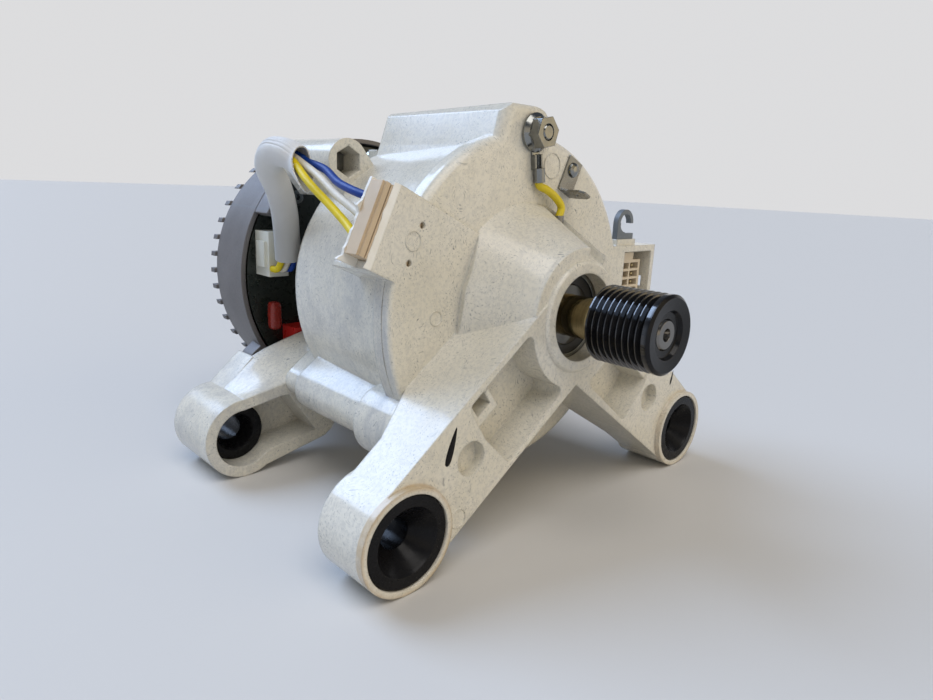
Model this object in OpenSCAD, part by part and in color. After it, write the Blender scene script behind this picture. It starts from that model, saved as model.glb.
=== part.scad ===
// Brushless drum-drive motor of a front-loading washing machine, standing on its four lugs.
// Millimetres. X to the right, Y to the back, Z up. The pulley points to -Y.
// The origin lies on the floor under the middle of the whole motor.
// Stations along the shaft are distances behind the front faces of the front lugs.

/* [Overall] */
// Height of the shaft above the floor
shaft_h = 76.5; // [74:0.5:82]
// Reach of the pulley in front of the lug faces
pulley_reach = 33; // [30:0.5:40]

/* [Front lugs] */
// Sideways place of the front bushes
lug_x = 78.3; // [74:0.1:84]
// Outer radius of a front eye, which stands on the floor
eye_r = 17.2; // [16.5:0.1:19]
// Radius of a front bush
bush_r = 15.2; // [12:0.1:15.6]
// Depth of a front eye
eye_depth = 22.5; // [18:0.5:26]
// Setback of the leg faces behind the eye faces
leg_set = 2; // [1:0.1:4]
// Half height of a leg below its centre line at the hub
leg_flare = 20.5; // [17.5:0.5:23]
// Bore of every bush
bolt_r = 5.2; // [4:0.1:6.5]
// Depth of the pocket in a leg
pocket_depth = 13; // [6:0.5:16]
// Wall between a leg's edge and its pocket
pocket_wall = 3; // [2.5:0.1:5]
// Radius of the round dimple in a leg
dimple_r = 5.8; // [3:0.1:6.5]

/* [Rear lugs] */
// Sideways place of the rear bushes
rear_lug_x = 77.6; // [74:0.1:84]
// Outer radius of a rear eye, which stands on the floor
rear_eye_r = 16.4; // [15:0.1:18]
// Radius of a rear bush
rear_bush_r = 12; // [9:0.1:13]
// Distance of the rear lugs behind the drum
rear_lug_gap = 4; // [3:0.5:5.5]
// Depth of a rear eye
rear_eye_depth = 32; // [28:0.5:36]
// Depth of the mouth in front of a rear bush
rear_mouth = 9; // [5:0.5:12]

/* [Drum] */
// Front face of the drum
face_set = 30; // [28:0.5:34]
// Length of the drum
drum_len = 73; // [71:0.5:75]
// Radius of the drum behind its front flange
drum_r = 61.2; // [60:0.1:63]
// Radius of the drum at its rear edge
drum_rear_r = 57; // [56:0.1:59]
// Radius of the front flange
flange_r = 63.6; // [62.5:0.1:66]
// Width of the front flange
flange_w = 8; // [6:0.5:12]
// Thickness of the front wall
front_wall = 7; // [5:0.5:8]

/* [Hub] */
// Radius of the hub cone where it leaves the drum face
cone_r = 38.5; // [36:0.5:42]
// Radius of the hub cone at its front
hub_r = 24.5; // [23.5:0.5:28]
// Outer radius of the raised ring round the bearing
ring_r = 20; // [18.5:0.1:22]
// Radius of the mouth in front of the bearing
mouth_r = 15.8; // [15:0.1:16.5]
// Width of the earth wire's trough in the hub cone
trough_w = 9.5; // [7:0.5:12]

/* [Posts] */
// Distance of the tie posts from the shaft
post_ring = 65.6; // [64.5:0.1:68]
// Radius of the upper posts
post_r = 8.7; // [8:0.1:10]
// Angle of the upper posts above the horizontal
post_angle = 50.4; // [46:0.1:54]
// Front end of the upper posts
post_set = 86; // [80:0.5:94]
// Angle of the lower tie posts below the horizontal
tie_angle = 36.6; // [34:0.1:40]
// Radius of the lower tie posts
tie_r = 9.4; // [8.5:0.1:10]

/* [Rotor] */
// Air gap between rotor and stator
air_gap = 0.7; // [0.5:0.1:1.2]
// Length of the laminated cores
stack = 46; // [40:1:46]
// Number of magnets
poles = 8; // [6:2:10]

/* [Stator] */
// Number of stator teeth
slots = 12; // [9:3:15]
// Radius of the stator core
core_r = 51.5; // [49:0.1:52]
// Thickness of the core behind the slots
yoke_t = 7; // [5:0.1:8]
// Depth of a slot
slot_depth = 10.8; // [9:0.1:12]
// Thickness of a tooth's tip
tip_t = 3; // [2:0.1:4]
// Width of a stator tooth
tooth_w = 9; // [6:0.5:9.5]
// Thickness of a coil's side
coil_t = 3.2; // [1.5:0.1:3.4]

/* [Pulley] */
// Outer radius of the pulley
pulley_r = 13.3; // [12:0.1:15]
// Length of the pulley
pulley_len = 24; // [23.5:0.1:26]
// Number of belt grooves
grooves = 9; // [5:1:9]
// Pitch of the belt grooves
groove_pitch = 2.34; // [2.2:0.01:2.4]
// Radius of the shaft inside the pulley
nose_r = 5.25; // [4:0.05:6]

/* [Rear cover] */
// Distance of the cover's rim behind the drum
cover_gap = 34; // [32:0.5:36]
// Depth of the cover from its rim to the ends of its fins
cover_depth = 36; // [33:0.5:42]
// Radius of the cover at its rim
cover_r = 62.6; // [62:0.1:65]
// Radius of the cover at its rear edge
cover_rear_r = 59.7; // [57:0.1:62]
// Wall of the cover
cover_wall = 2; // [1.6:0.1:3]
// Height of the cooling fins
fin_h = 3; // [2:0.5:6]
// Distance between the cooling fins
fin_pitch = 7.7; // [6:0.1:10]
// Thickness of a cooling fin
fin_t = 2; // [1.2:0.1:3]

/* [Lead] */
// Radius of an insulated wire
wire_r = 1.4; // [1:0.05:1.45]
// Outer radius of the lead's sleeve
sleeve_r = 5.3; // [5:0.1:6]
// Wall of the sleeve
sleeve_wall = 0.6; // [0.4:0.05:0.7]
// Distance between the wires in the plug
wire_pitch = 6.4; // [5:0.1:7.5]

/* [Connectors] */
// Direction of the lead connector, above the horizontal
plug_angle = 24; // [20:0.5:28]
// Reach of the lead connector's housing from the shaft
plug_reach = 73.2; // [70:0.1:76]
// Height of the lead connector's housing
plug_h = 28.3; // [26:0.1:32]
// Reach of the plug beyond its housing
plug_out = 5.6; // [4:0.1:9]
// Outer side of the signal socket
socket_x = 91; // [88:0.5:94]
// Height of the signal socket
socket_h = 27; // [24:0.5:30]
// Depth of the signal socket
socket_depth = 18; // [14:0.5:22]
// Wall of the signal socket
socket_wall = 2.8; // [2:0.1:4]

/* [Hidden] */
$fn = 64;

// Stations that follow from the driving dimensions
drum_end = face_set + drum_len;
rear_lug_set = drum_end + rear_lug_gap;
cover_set = drum_end + cover_gap;
rear_reach = cover_set + cover_depth;
// Frame position of the front lug faces, which centres the motor on the origin
lug_y = (pulley_reach - rear_reach) / 2;
// Clearances: pressed seat, free fit between fixed pieces, gap to a moving piece
press_gap = 0.02;
fit_gap = 0.2;
run_gap = 0.3;
// Reach of a cut past the face that it opens
past = 1;

// Further stations and sizes
wall_in = face_set + front_wall;
ring_set = leg_set - 1;
bearing_set = 8;
core_front = 44;
core_back = core_front + stack;
rear_seat = drum_end + 2;
fin_root = rear_reach - fin_h;
board_set = cover_set + 1;
post_end = cover_set - 15;
board_t = 1.6;
leg_len = norm([lug_x, shaft_h - eye_r]);
leg_angle = atan2(shaft_h - eye_r, lug_x);
slot_out = core_r - yoke_t;
slot_in = slot_out - slot_depth;
stator_bore = slot_in - tip_t;
rotor_r = stator_bore - air_gap;

// Bearing sizes: bore radius, outer radius, width, ball radius, balls
front_bearing = [7.5, 17.5, 11, 2.75, 8];
rear_bearing = [6, 16, 10, 2.6, 7];
front_bearing_set = bearing_set;
rear_bearing_set = rear_seat;

cream = [0.87, 0.86, 0.81];
black = [0.07, 0.07, 0.075];
steel = [0.72, 0.72, 0.71];
alu = [0.56, 0.57, 0.58];

// Frame position of a station
function at(d) = lug_y + d;

// Points of an arc from angle a to angle b
function arc(x, y, r, a, b, n = 6) = [for (i = [0:n])
    [x + r * cos(a + (b - a) * i / n), y + r * sin(a + (b - a) * i / n)]];

// A round bar along the shaft direction, between two stations
module rod(x, z, d0, d1, r) {
    translate([x, at(d0), z])
        rotate([-90, 0, 0])
            cylinder(h = d1 - d0, r = r);
}

// A front-view outline extruded between two stations
module slab(d0, d1) {
    translate([0, at(d1), 0])
        rotate([90, 0, 0])
            linear_extrude(d1 - d0)
                children();
}

// A profile of radius and distance behind a station, turned about the shaft
module turned(d0) {
    translate([0, at(d0), shaft_h])
        rotate([-90, 0, 0])
            rotate_extrude()
                children();
}

// A turned ring: inner radius, outer radius, two stations
module ring(r0, r1, d0, d1) {
    turned(d0)
        translate([r0, 0])
            square([r1 - r0, d1 - d0]);
}

// A piece and its mirror image
module both_sides() {
    children();
    mirror([1, 0, 0])
        children();
}

// Front-view frame of the lead connector: x outwards from the shaft, y upwards across it
module at_plug() {
    translate([0, shaft_h])
        mirror([1, 0])
            rotate(plug_angle)
                children();
}

// Front-view frame of a leg: x from the eye towards the hub, y up across it
module at_leg() {
    translate([-lug_x, eye_r])
        rotate(leg_angle)
            children();
}

/* Front housing */

boss_z = shaft_h + 63.2;
boss_r = 9.4;
boss_len = drum_len - 5;
trough_angle = 72;
trough_depth = 4.6;
tab_angle = 65.2;
screw_r = 2.4;
head_r = 4.2;
head_h = 3.6;
nut_af = 10;

// Outside of the drum: flat face, rounded flange, tapering side, rounded rear edge
module drum_profile() {
    edge = 4.5;
    rear_edge = 4;
    polygon(concat(
        [[0, 0]],
        arc(flange_r - edge, edge, edge, -90, 0),
        [[flange_r, flange_w], [drum_r, flange_w + 1.5]],
        arc(drum_rear_r + 0.4 - rear_edge, drum_len - rear_edge, rear_edge, 0, 90),
        [[0, drum_len]]));
}

// Reach of a leg into its eye
leg_in = 3;

// Front view of one front leg, from its eye to the hub
module leg_outline() {
    at_leg()
        polygon([[-leg_in, eye_r - 0.5], [leg_len, eye_r - 0.5], [leg_len, -leg_flare], [-leg_in, 0.7 - eye_r]]);
}

// Side view of a leg, deepening from the eye to the drum
module leg_side() {
    polygon([[-leg_in - past, leg_set], [leg_len, leg_set], [leg_len, face_set + 2],
        [leg_len - flange_r + 12, face_set + 2], [eye_r + 2, eye_depth - 0.7],
        [-leg_in - past, eye_depth - 1.5]]);
}

module front_leg() {
    intersection() {
        slab(leg_set, face_set + 2)
            leg_outline();
        translate([-lug_x, lug_y, eye_r])
            rotate([0, -leg_angle, 0])
                translate([0, 0, -leg_flare - past])
                    linear_extrude(leg_flare + eye_r + 2 * past)
                        leg_side();
    }
    // Raised round face of the eye
    rod(-lug_x, eye_r, 0, eye_depth, eye_r);
}

pocket_start = 41.5;
pocket_low = 16.4;
pocket_round = 2.5;

// Pocket beside the hub: straight walls, one wall round the hub ring
module leg_pocket() {
    offset(pocket_round)
        offset(-pocket_round)
            difference() {
                at_leg()
                    polygon([[pocket_start, eye_r - pocket_wall], [leg_len, eye_r - pocket_wall],
                        [leg_len, -pocket_low], [pocket_start + 1.5, -pocket_low], [pocket_start - 1.2, 0]]);
                translate([0, shaft_h])
                    circle(hub_r + 1.3);
            }
}

// Small square well that stands in the corner of the pocket
module well_block() {
    at_leg()
        translate([pocket_start - 3, 4.4])
            square([12.7, 14]);
}

module well() {
    at_leg()
        translate([pocket_start + 1.3, 7.6])
            square([6.6, eye_r - pocket_wall - 7.6]);
}

// Slanting channel for the earth wire, cut into the hub cone
module trough() {
    slope = atan2(cone_r - hub_r, face_set - leg_set);
    translate([0, at(face_set), shaft_h])
        rotate([0, 90 - trough_angle, 0])
            translate([0, 0, cone_r - trough_depth])
                rotate([slope, 0, 0])
                    translate([-trough_w / 2, -40, 0])
                        cube([trough_w, 40 + past, 12]);
}

// Flat that trims the side of the hub cone, square to a direction above the horizontal
module cone_flat(angle) {
    flat_r = 34.2;
    flat_slope = 22;
    translate([0, at(face_set), shaft_h])
        rotate([0, angle, 0])
            translate([-flat_r, 0, 0])
                rotate([0, 0, -flat_slope])
                    translate([-20, -36, -40])
                        cube([20, 36, 80]);
}

// Hub: cone, front band and raised ring round the bearing
module hub() {
    cone_front = leg_set + 0.6;
    difference() {
        turned(cone_front)
            polygon([[0, 0], [hub_r, 0], [hub_r + 0.4, 1.5], [cone_r, face_set - cone_front],
                [cone_r, face_set - cone_front + 1], [0, face_set - cone_front + 1]]);
        trough();
        both_sides()
            for (angle = [7, 21])
                cone_flat(angle);
    }
    turned(ring_set)
        polygon([[mouth_r - past, 0], [ring_r - 0.8, 0], [ring_r, 0.8], [ring_r, 12],
            [mouth_r - past, 12]]);
}

// Front view of the top boss: flat top, round right side, steep left side
module boss_outline() {
    top = boss_z + boss_r;
    translate([0, boss_z])
        circle(boss_r);
    polygon([[-10.5, top], [1, top], [boss_r, boss_z], [boss_r, boss_z - 16], [-22.5, boss_z - 16],
        [-18.4, boss_z - 5], [-14.4, top - 2.8]]);
}

// Cutter that leaves a rounded edge along z: x and y point into the piece that it rounds
module edge_cut(r, len) {
    difference() {
        translate([-past, -past, 0])
            cube([r + past, r + past, len]);
        translate([r, r, -past])
            cylinder(h = len + 2 * past, r = r);
    }
}

// Top boss: its top falls a little towards the rear, its front edges are rounded
module top_boss() {
    fall = 1.3;
    slant = 19.7;
    difference() {
        slab(face_set, face_set + boss_len)
            boss_outline();
        translate([-30, at(face_set), boss_z + boss_r])
            rotate([-fall, 0, 0])
                cube([60, boss_len + 10, 10]);
        translate([-14.4, at(face_set), boss_z + boss_r - 2.8])
            rotate([0, slant, 0])
                translate([0, 0, -32])
                    edge_cut(4.5, 44);
        translate([-30, at(face_set), boss_z + boss_r])
            rotate([0, 90, 0])
                edge_cut(2.4, 60);
    }
}

// Holder of the lead plug: a flat box with a slot open at its outer end
plug_proud = 1;
raised_r = flange_r + 1.2;
plug_set = face_set - plug_proud;
plug_depth = 6.2;
plug_back = 9.5;
plug_mid = 0.6;
plug_slot = plug_h - 3.7;
plug_in = 16;
plug_root = 34;
wire_mid = 2.5;

module plug_holder() {
    slab(plug_set, face_set + plug_back)
        at_plug()
            translate([plug_root, plug_mid - plug_h / 2])
                square([plug_reach - plug_root, plug_h]);
    // Raised part of the drum face between the holder and the leg, out to a sharper edge
    intersection() {
        turned(plug_set)
            polygon(concat([[0, 0]], arc(raised_r - 1.2, 1.2, 1.2, -90, 0),
                [[raised_r, flange_w + plug_proud], [0, flange_w + plug_proud]]));
        slab(plug_set - past, face_set + flange_w + past)
            at_plug()
                polygon([[0, 0], [plug_root, plug_mid], [70, plug_mid], [74, -20], [58, -58], [35, -60]]);
    }
    // Ledge under the holder, running back along the drum
    slab(plug_set, face_set + 24)
        at_plug()
            translate([54, plug_mid - plug_h / 2])
                square([plug_reach - 57, 2]);
}

module plug_slot_cut() {
    slab(plug_set + 1.6, plug_set + 1.6 + plug_depth + 2 * fit_gap)
        at_plug()
            translate([plug_reach - plug_in, 1.5 - plug_slot / 2])
                square([plug_in + past, plug_slot]);
}

// Signal socket: an open box beside the drum
socket_top = shaft_h + 20.4;
socket_in = 57;

module socket_box() {
    slab(face_set, face_set + socket_depth)
        translate([socket_in - 8, socket_top - socket_h])
            square([socket_x - socket_in + 8, socket_h]);
    // Rib that carries the cable hook
    slab(hook_set - 0.5, hook_set + hook_t + 0.5)
        translate([hook_x - 6, socket_top - 1])
            square([14, hook_up + 1]);
}

cavity_x = socket_in + 9.5;
cavity_w = socket_x - socket_wall - cavity_x;
cavity_depth = socket_depth - 4;

module socket_cavity() {
    slab(face_set - past, face_set + cavity_depth)
        translate([cavity_x, socket_top - socket_h + socket_wall])
            square([cavity_w, socket_h - 2 * socket_wall]);
    // Latch window through the outer wall
    slab(face_set + 4, face_set + 9)
        translate([socket_x - socket_wall - past, socket_top - 20])
            square([socket_wall + 2 * past, 5]);
}

function post_x(angle) = post_ring * cos(angle);
function post_z(angle) = shaft_h + post_ring * sin(angle);
nut_depth = 15;
tie_front = 47.5;
tie_front_r = 13.2;
tie_tip = 72;
tie_end = drum_end - 9;
tie_neck_r = 6.4;

// Round tie post, joined to the drum by its web
module post(angle, d0, d1, r) {
    slab(d0, d1)
        translate([0, shaft_h])
            mirror([1, 0])
                rotate(angle) {
                    translate([post_ring, 0])
                        circle(r);
                    translate([core_r + 2, -r])
                        square([post_ring - core_r - 2, 2 * r]);
                }
}

module motor_housing() {
    color(cream)
        difference() {
            union() {
                turned(face_set)
                    drum_profile();
                both_sides()
                    front_leg();
                hub();
                top_boss();
                plug_holder();
                socket_box();
                both_sides() {
                    difference() {
                        post(post_angle, post_set, post_end, post_r);
                        ring(0, drum_rear_r - 1, drum_end, post_end + past);
                    }
                    post(-tie_angle, face_set + flange_w, tie_end, tie_r);
                    // Thinner neck that meets the bracket
                    post(-tie_angle, tie_end - past, rear_lug_set, tie_neck_r);
                    // Wide front end of a lower post, behind the leg
                    rod(-post_x(tie_angle), post_z(-tie_angle), face_set - 4, tie_front, tie_front_r);
                }
            }
            // Inside of the drum: stator bore, front end-turn space, rotor space
            ring(0, core_r + press_gap, core_front, drum_end + past);
            ring(0, core_r - 2.5, wall_in, core_front + past);
            // Bearing seat and its mouth
            ring(0, front_bearing[1] + press_gap, bearing_set - 0.8, wall_in + past);
            ring(0, mouth_r, -past, bearing_set);
            // Bush seats
            both_sides()
                rod(-lug_x, eye_r, -past, eye_depth + 4, bush_r + press_gap);
            // Leg pockets, steps and dimples
            both_sides() {
                difference() {
                    slab(-past, leg_set + pocket_depth)
                        leg_pocket();
                    slab(leg_set + 1.2, leg_set + pocket_depth + past)
                        well_block();
                }
                slab(-past, leg_set + 7)
                    well();
                slab(-past, leg_set + 4)
                    at_leg()
                        translate([32.5, -0.5])
                            circle(dimple_r);
            }
            plug_slot_cut();
            socket_cavity();
            // Two small holes in the front of the plug holder
            slab(plug_set - past, plug_set + 4)
                at_plug()
                    for (v = [-6, 7])
                        translate([60, v])
                            circle(1.1);
            // Threaded holes for the lower screws
            both_sides()
                rod(-post_x(tie_angle), post_z(-tie_angle), tie_tip - 2, rear_lug_set + past, screw_r);
            // Cover screw holes with a six-sided nut pocket in front
            both_sides() {
                rod(-post_x(post_angle), post_z(post_angle), post_set, post_end + past, screw_r + fit_gap);
                slab(post_set - past, post_set + nut_depth)
                    translate([-post_x(post_angle), post_z(post_angle)])
                        rotate(30)
                            circle(nut_af / sqrt(3) + fit_gap, $fn = 6);
            }
            // Rear bracket screw holes in the drum's rear edge
            bracket_holes(drum_end - 12, drum_end + past, bracket_screw_r);
            // Earth stud hole, earth tab hole and earth contact hole
            rod(0, boss_z, face_set - past, face_set + 20, stud_r + press_gap);
            rod(tab_x(rivet_ring), tab_z(rivet_ring), face_set - past, face_set + 5, rivet_r + press_gap);
            rod(crimp_x, crimp_z - 2.2, face_set - 5, face_set + 3, 1.25);
            // Recess for the earth contact's barrel
            translate([crimp_x, at(26), crimp_z - 3.4 - run_gap])
                cylinder(h = 20, r = barrel_r + run_gap);
        }
}

/* Rear bracket with the rear lugs and the rear bearing seat */

plate_r = 52.5;
plate_t = 6;
bracket_screw_x = 11.8;
bracket_screw_z = shaft_h + 53;
bracket_screw_r = screw_r - 0.5;
bracket_hub_r = 21;
root_back = rear_lug_set + 19.5;

// Holes for the two upper bracket screws
module bracket_holes(d0, d1, r) {
    both_sides()
        rod(-bracket_screw_x, bracket_screw_z, d0, d1, r);
}

// Outline of the arm between the rear eye and the plate: at its front face, and at its back
arm_low = [[-36.8, 11.8], [-40.4, 9.1], [-rear_lug_x, 0.5], [-rear_lug_x, 2 * rear_eye_r]];
arm_front = concat(arm_low, [[-59.3, 36.4], [-52, 40.8], [-44.4, 46.2], [-36, 55], [-20, 40]]);
arm_back = concat(arm_low, [[-63.6, 45.2], [-58, 47.6], [-48, 50.7], [-37.4, 53.6], [-20, 40]]);

// Arm with a twisted top, from a number of sections between the two outlines
module rear_arm() {
    sections = 8;
    sides = len(arm_front);
    points = [for (i = [0:sections], k = [0:sides - 1])
        let (t = i / sections, q = arm_front[k] * (1 - t) + arm_back[k] * t)
        [q[0], at(rear_lug_set + (root_back - rear_lug_set) * t), q[1]]];
    last = sections * sides;
    polyhedron(points, concat(
        [for (i = [0:sections - 1], face = wall_faces(i, i + 1, sides)) face],
        [for (k = [1:sides - 2]) [0, k, k + 1]],
        [for (k = [1:sides - 2]) [last, last + k + 1, last + k]]));
}

module rear_leg() {
    rod(-rear_lug_x, rear_eye_r, rear_lug_set, rear_lug_set + rear_eye_depth, rear_eye_r);
    rear_arm();
    // Rear half of the eye block, standing clear of the cover
    slab(root_back - 1, rear_lug_set + rear_eye_depth)
        polygon([[-rear_lug_x, 2 * rear_eye_r], [-64, 44.8], [-62.4, 44], [-61.5, 36],
            [-64, 8], [-70, 2.2], [-rear_lug_x, 0.5]]);
}

// Channel in the front of a rear leg, opening out of the eye
module rear_channel() {
    translate([-rear_lug_x, rear_eye_r])
        circle(rear_bush_r + press_gap);
    polygon([[-rear_lug_x, rear_eye_r + rear_bush_r], [-60.5, 31.4], [-57.5, 31.4], [-45, 13],
        [-66.5, 9.2], [-rear_lug_x + 4, rear_eye_r - rear_bush_r + 0.7], [-rear_lug_x, rear_eye_r]]);
}

module rear_bracket() {
    seat_r = rear_bearing[1] + press_gap;
    seat_back = rear_bearing_set + rear_bearing[2] + fit_gap;
    color(cream)
        difference() {
            union() {
                ring(0, plate_r, drum_end, drum_end + plate_t);
                // Spigot that centres the bracket in the drum
                ring(core_r - 4, core_r - 0.05, drum_end - 4, drum_end + past);
                ring(0, bracket_hub_r, drum_end, seat_back + 6);
                both_sides()
                    rear_leg();
                // Tongue at the top for the two bracket screws
                slab(drum_end, drum_end + plate_t)
                    translate([-bracket_screw_x - 4.2, shaft_h + 40])
                        square([2 * bracket_screw_x + 8.4, 16.6]);
                // Ribs from the hub to the edge of the plate
                for (a = [0:60:300])
                    slab(drum_end, drum_end + plate_t + 4)
                        translate([0, shaft_h])
                            rotate(a)
                                translate([0, -1.5])
                                    square([plate_r - 4, 3]);
            }
            // Bearing seat and the space for the end of the shaft
            ring(0, seat_r, drum_end - 5, seat_back);
            ring(0, rear_bearing[0] + 3, drum_end - 5, seat_back + 3.5);
            both_sides() {
                rod(-rear_lug_x, rear_eye_r, rear_lug_set - past, rear_lug_set + rear_eye_depth + past,
                    rear_bush_r + press_gap);
                slab(rear_lug_set - past, rear_lug_set + 16)
                    rear_channel();
                // Clear holes for the lower screws
                rod(-post_x(tie_angle), post_z(-tie_angle), rear_lug_set - past, root_back + past,
                    screw_r + fit_gap);
            }
            bracket_holes(drum_end - 5, drum_end + plate_t + 5, bracket_screw_r + fit_gap);
        }
}

/* Rear cover with cooling fins */

cover_edge = 2.5;
standoff_ring = 50;
standoff_r = 4;
ear_r = post_r - 0.7;
ear_t = 9;

// Solid of the bowl from its rim to its flat back, kept a wall inside its outer face
module bowl(wall) {
    depth = fin_root - cover_set - wall;
    lip = wall > 0 ? past : 0;
    turned(cover_set - lip)
        polygon(concat(
            [[0, 0], [cover_r - wall, 0], [cover_r - wall, lip]],
            arc(cover_rear_r - wall - cover_edge, depth + lip - cover_edge, cover_edge, 0, 90),
            [[0, depth + lip]]));
}

// Ear over a post, from its seat to behind the rim
module cover_ear(angle, d0) {
    slab(d0, cover_set + ear_t)
        translate([0, shaft_h])
            mirror([1, 0])
                rotate(angle) {
                    translate([post_ring, 0])
                        circle(ear_r);
                    translate([cover_r - cover_wall, -ear_r])
                        square([post_ring - cover_r + cover_wall, 2 * ear_r]);
                }
}

// Piece of the bowl's wall that runs forward beside an upper ear
module ear_wall() {
    intersection() {
        ring(cover_r - 3, cover_r - 0.2, post_end + 4, cover_set + 3);
        slab(post_end, cover_set + 4)
            translate([0, shaft_h])
                mirror([1, 0])
                    rotate(post_angle)
                        polygon([[0, 0], [80, -34], [80, 10]]);
    }
}

module heat_sink_cover() {
    color(alu)
        difference() {
            union() {
                difference() {
                    union() {
                        bowl(0);
                        both_sides() {
                            cover_ear(post_angle, post_end);
                            ear_wall();
                            cover_ear(-tie_angle, cover_set);
                            rod(-post_x(tie_angle), post_z(-tie_angle), root_back, cover_set + past,
                                ear_r - 1.8);
                        }
                    }
                    bowl(cover_wall);
                }
                // Plate fins across the back
                intersection() {
                    slab(fin_root - past, rear_reach)
                        for (k = [-7:7])
                            translate([-cover_r, shaft_h + k * fin_pitch - fin_t / 2])
                                square([2 * cover_r, fin_t]);
                    ring(0, cover_rear_r + 0.6, fin_root - past, rear_reach);
                }
                // Standoffs for the board
                for (a = [45:90:315])
                    rod(standoff_ring * cos(a), shaft_h + standoff_ring * sin(a), board_set + board_t,
                        fin_root - past, standoff_r);
                // Pad that cools the power module
                slab(board_set + board_t + module_t + 1, fin_root - past)
                    translate([module_x - 2, module_z - 2])
                        square([module_w + 4, module_h + 4]);
            }
            both_sides()
                for (a = [post_angle, -tie_angle]) {
                    rod(-post_x(a), post_z(a), post_end - past, cover_set + ear_t + past, screw_r + fit_gap);
                    // Room for the screw's head beside the bowl
                    rod(-post_x(a), post_z(a), cover_set + ear_t, cover_set + ear_t + head_h + fit_gap,
                        head_r + fit_gap);
                }
            for (a = [45:90:315])
                rod(standoff_ring * cos(a), shaft_h + standoff_ring * sin(a), board_set, board_set + 12, 1.3);
        }
}

/* Bushes */

// Black bush: flat ring, conical dish in front, straight bore
module bush(x, z, d0, d1, r) {
    dish_r = r - 4.5;
    dish = 7;
    color(black)
        translate([x, at(d0), z])
            rotate([-90, 0, 0])
                rotate_extrude()
                    polygon([[bolt_r, dish], [dish_r, 0.8], [dish_r + 0.6, 0], [r - 0.6, 0], [r, 0.6],
                        [r, d1 - d0 - 0.6], [r - 0.6, d1 - d0], [bolt_r + 1, d1 - d0],
                        [bolt_r, d1 - d0 - 1]]);
}

module front_bush_left() { bush(-lug_x, eye_r, 0.4, eye_depth, bush_r); }
module front_bush_right() { bush(lug_x, eye_r, 0.4, eye_depth, bush_r); }

module rear_bush(x) {
    bush(x, rear_eye_r, rear_lug_set + rear_mouth, rear_lug_set + rear_eye_depth, rear_bush_r);
}

module rear_bush_left() { rear_bush(-rear_lug_x); }
module rear_bush_right() { rear_bush(rear_lug_x); }

/* Rotor */

shaft_tip = 1.4 - pulley_reach;
pulley_seat = pulley_len - pulley_reach;
journal = front_bearing[0] - press_gap;
shoulder_set = bearing_set + front_bearing[2];
rotor_bore = 9;
rear_shoulder = rear_bearing_set;
shaft_end = rear_bearing_set + rear_bearing[2] + 2.5;

module shaft() {
    collar_r = 9.5;
    centre_r = 2.2;
    color(steel)
        turned(shaft_tip)
            polygon([[0, 3], [centre_r - 0.7, 2.4], [centre_r, 0], [nose_r - 0.6, 0], [nose_r, 0.6],
                [nose_r, pulley_seat - shaft_tip], [journal, pulley_seat - shaft_tip],
                [journal, shoulder_set - shaft_tip], [collar_r, shoulder_set - shaft_tip],
                [collar_r, shoulder_set + 5 - shaft_tip], [rotor_bore - press_gap, shoulder_set + 5 - shaft_tip],
                [rotor_bore - press_gap, core_back + 6 - shaft_tip], [8, core_back + 6 - shaft_tip],
                [8, rear_shoulder - shaft_tip], [rear_bearing[0] - press_gap, rear_shoulder - shaft_tip],
                [rear_bearing[0] - press_gap, shaft_end - 0.8 - shaft_tip],
                [rear_bearing[0] - 0.8, shaft_end - shaft_tip], [0, shaft_end - shaft_tip]]);
}

magnet_in = 14;
magnet_out = rotor_r - 2.5;
magnet_t = 6;

module rotor_core() {
    color([0.45, 0.45, 0.46])
        slab(core_front, core_back)
            translate([0, shaft_h])
                difference() {
                    circle(rotor_r);
                    circle(rotor_bore);
                    for (k = [0:poles - 1])
                        rotate(k * 360 / poles)
                            translate([magnet_in, -magnet_t / 2])
                                square([magnet_out - magnet_in, magnet_t]);
                }
}

module rotor_magnets() {
    color([0.2, 0.2, 0.21])
        slab(core_front, core_back)
            translate([0, shaft_h])
                for (k = [0:poles - 1])
                    rotate(k * 360 / poles)
                        translate([magnet_in + press_gap, press_gap - magnet_t / 2])
                            square([magnet_out - magnet_in - 2 * press_gap, magnet_t - 2 * press_gap]);
}

module sensor_magnet() {
    color([0.25, 0.25, 0.26])
        ring(rotor_bore, rotor_r - 10, core_back, core_back + 5);
}

// Ribbed belt pulley: grooves, wide front rim, dished face, bore
module pulley() {
    groove_depth = 1.9;
    crest = 0.35;
    rim = pulley_len - grooves * groove_pitch - 0.5;
    root = pulley_r - groove_depth;
    dish_r = nose_r + 2.2;
    color(black)
        turned(-pulley_reach)
            polygon(concat(
                [[nose_r + press_gap, 2], [dish_r, 1.8], [dish_r + 0.8, 0.5], [pulley_r - 1, 0], [pulley_r, 0.8]],
                [for (k = [0:grooves - 1], p = [[0, 0], [1, 0.5], [1, 0.58], [0, 1]])
                    [pulley_r - p[0] * groove_depth,
                     rim + k * groove_pitch + crest / 2 + p[1] * (groove_pitch - crest)]],
                [[pulley_r, pulley_len - 0.1], [pulley_r - 0.6, pulley_len],
                 [nose_r + press_gap, pulley_len]]));
}

/* Bearings */

// Pitch radius of the balls
function pitch_r(b) = (b[0] + b[1]) / 2;

// Outer ring with its ball groove
module bearing_outer(b, d0) {
    p = pitch_r(b);
    land = p + b[3] * 0.62;
    color(steel)
        difference() {
            ring(land, b[1], d0, d0 + b[2]);
            translate([0, at(d0 + b[2] / 2), shaft_h])
                rotate([-90, 0, 0])
                    rotate_extrude()
                        translate([p, 0])
                            circle(b[3] + run_gap, $fn = 32);
            // Steps for the seals
            ring(0, land + 0.9, d0 - past, d0 + 1);
            ring(0, land + 0.9, d0 + b[2] - 1, d0 + b[2] + past);
        }
}

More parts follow.
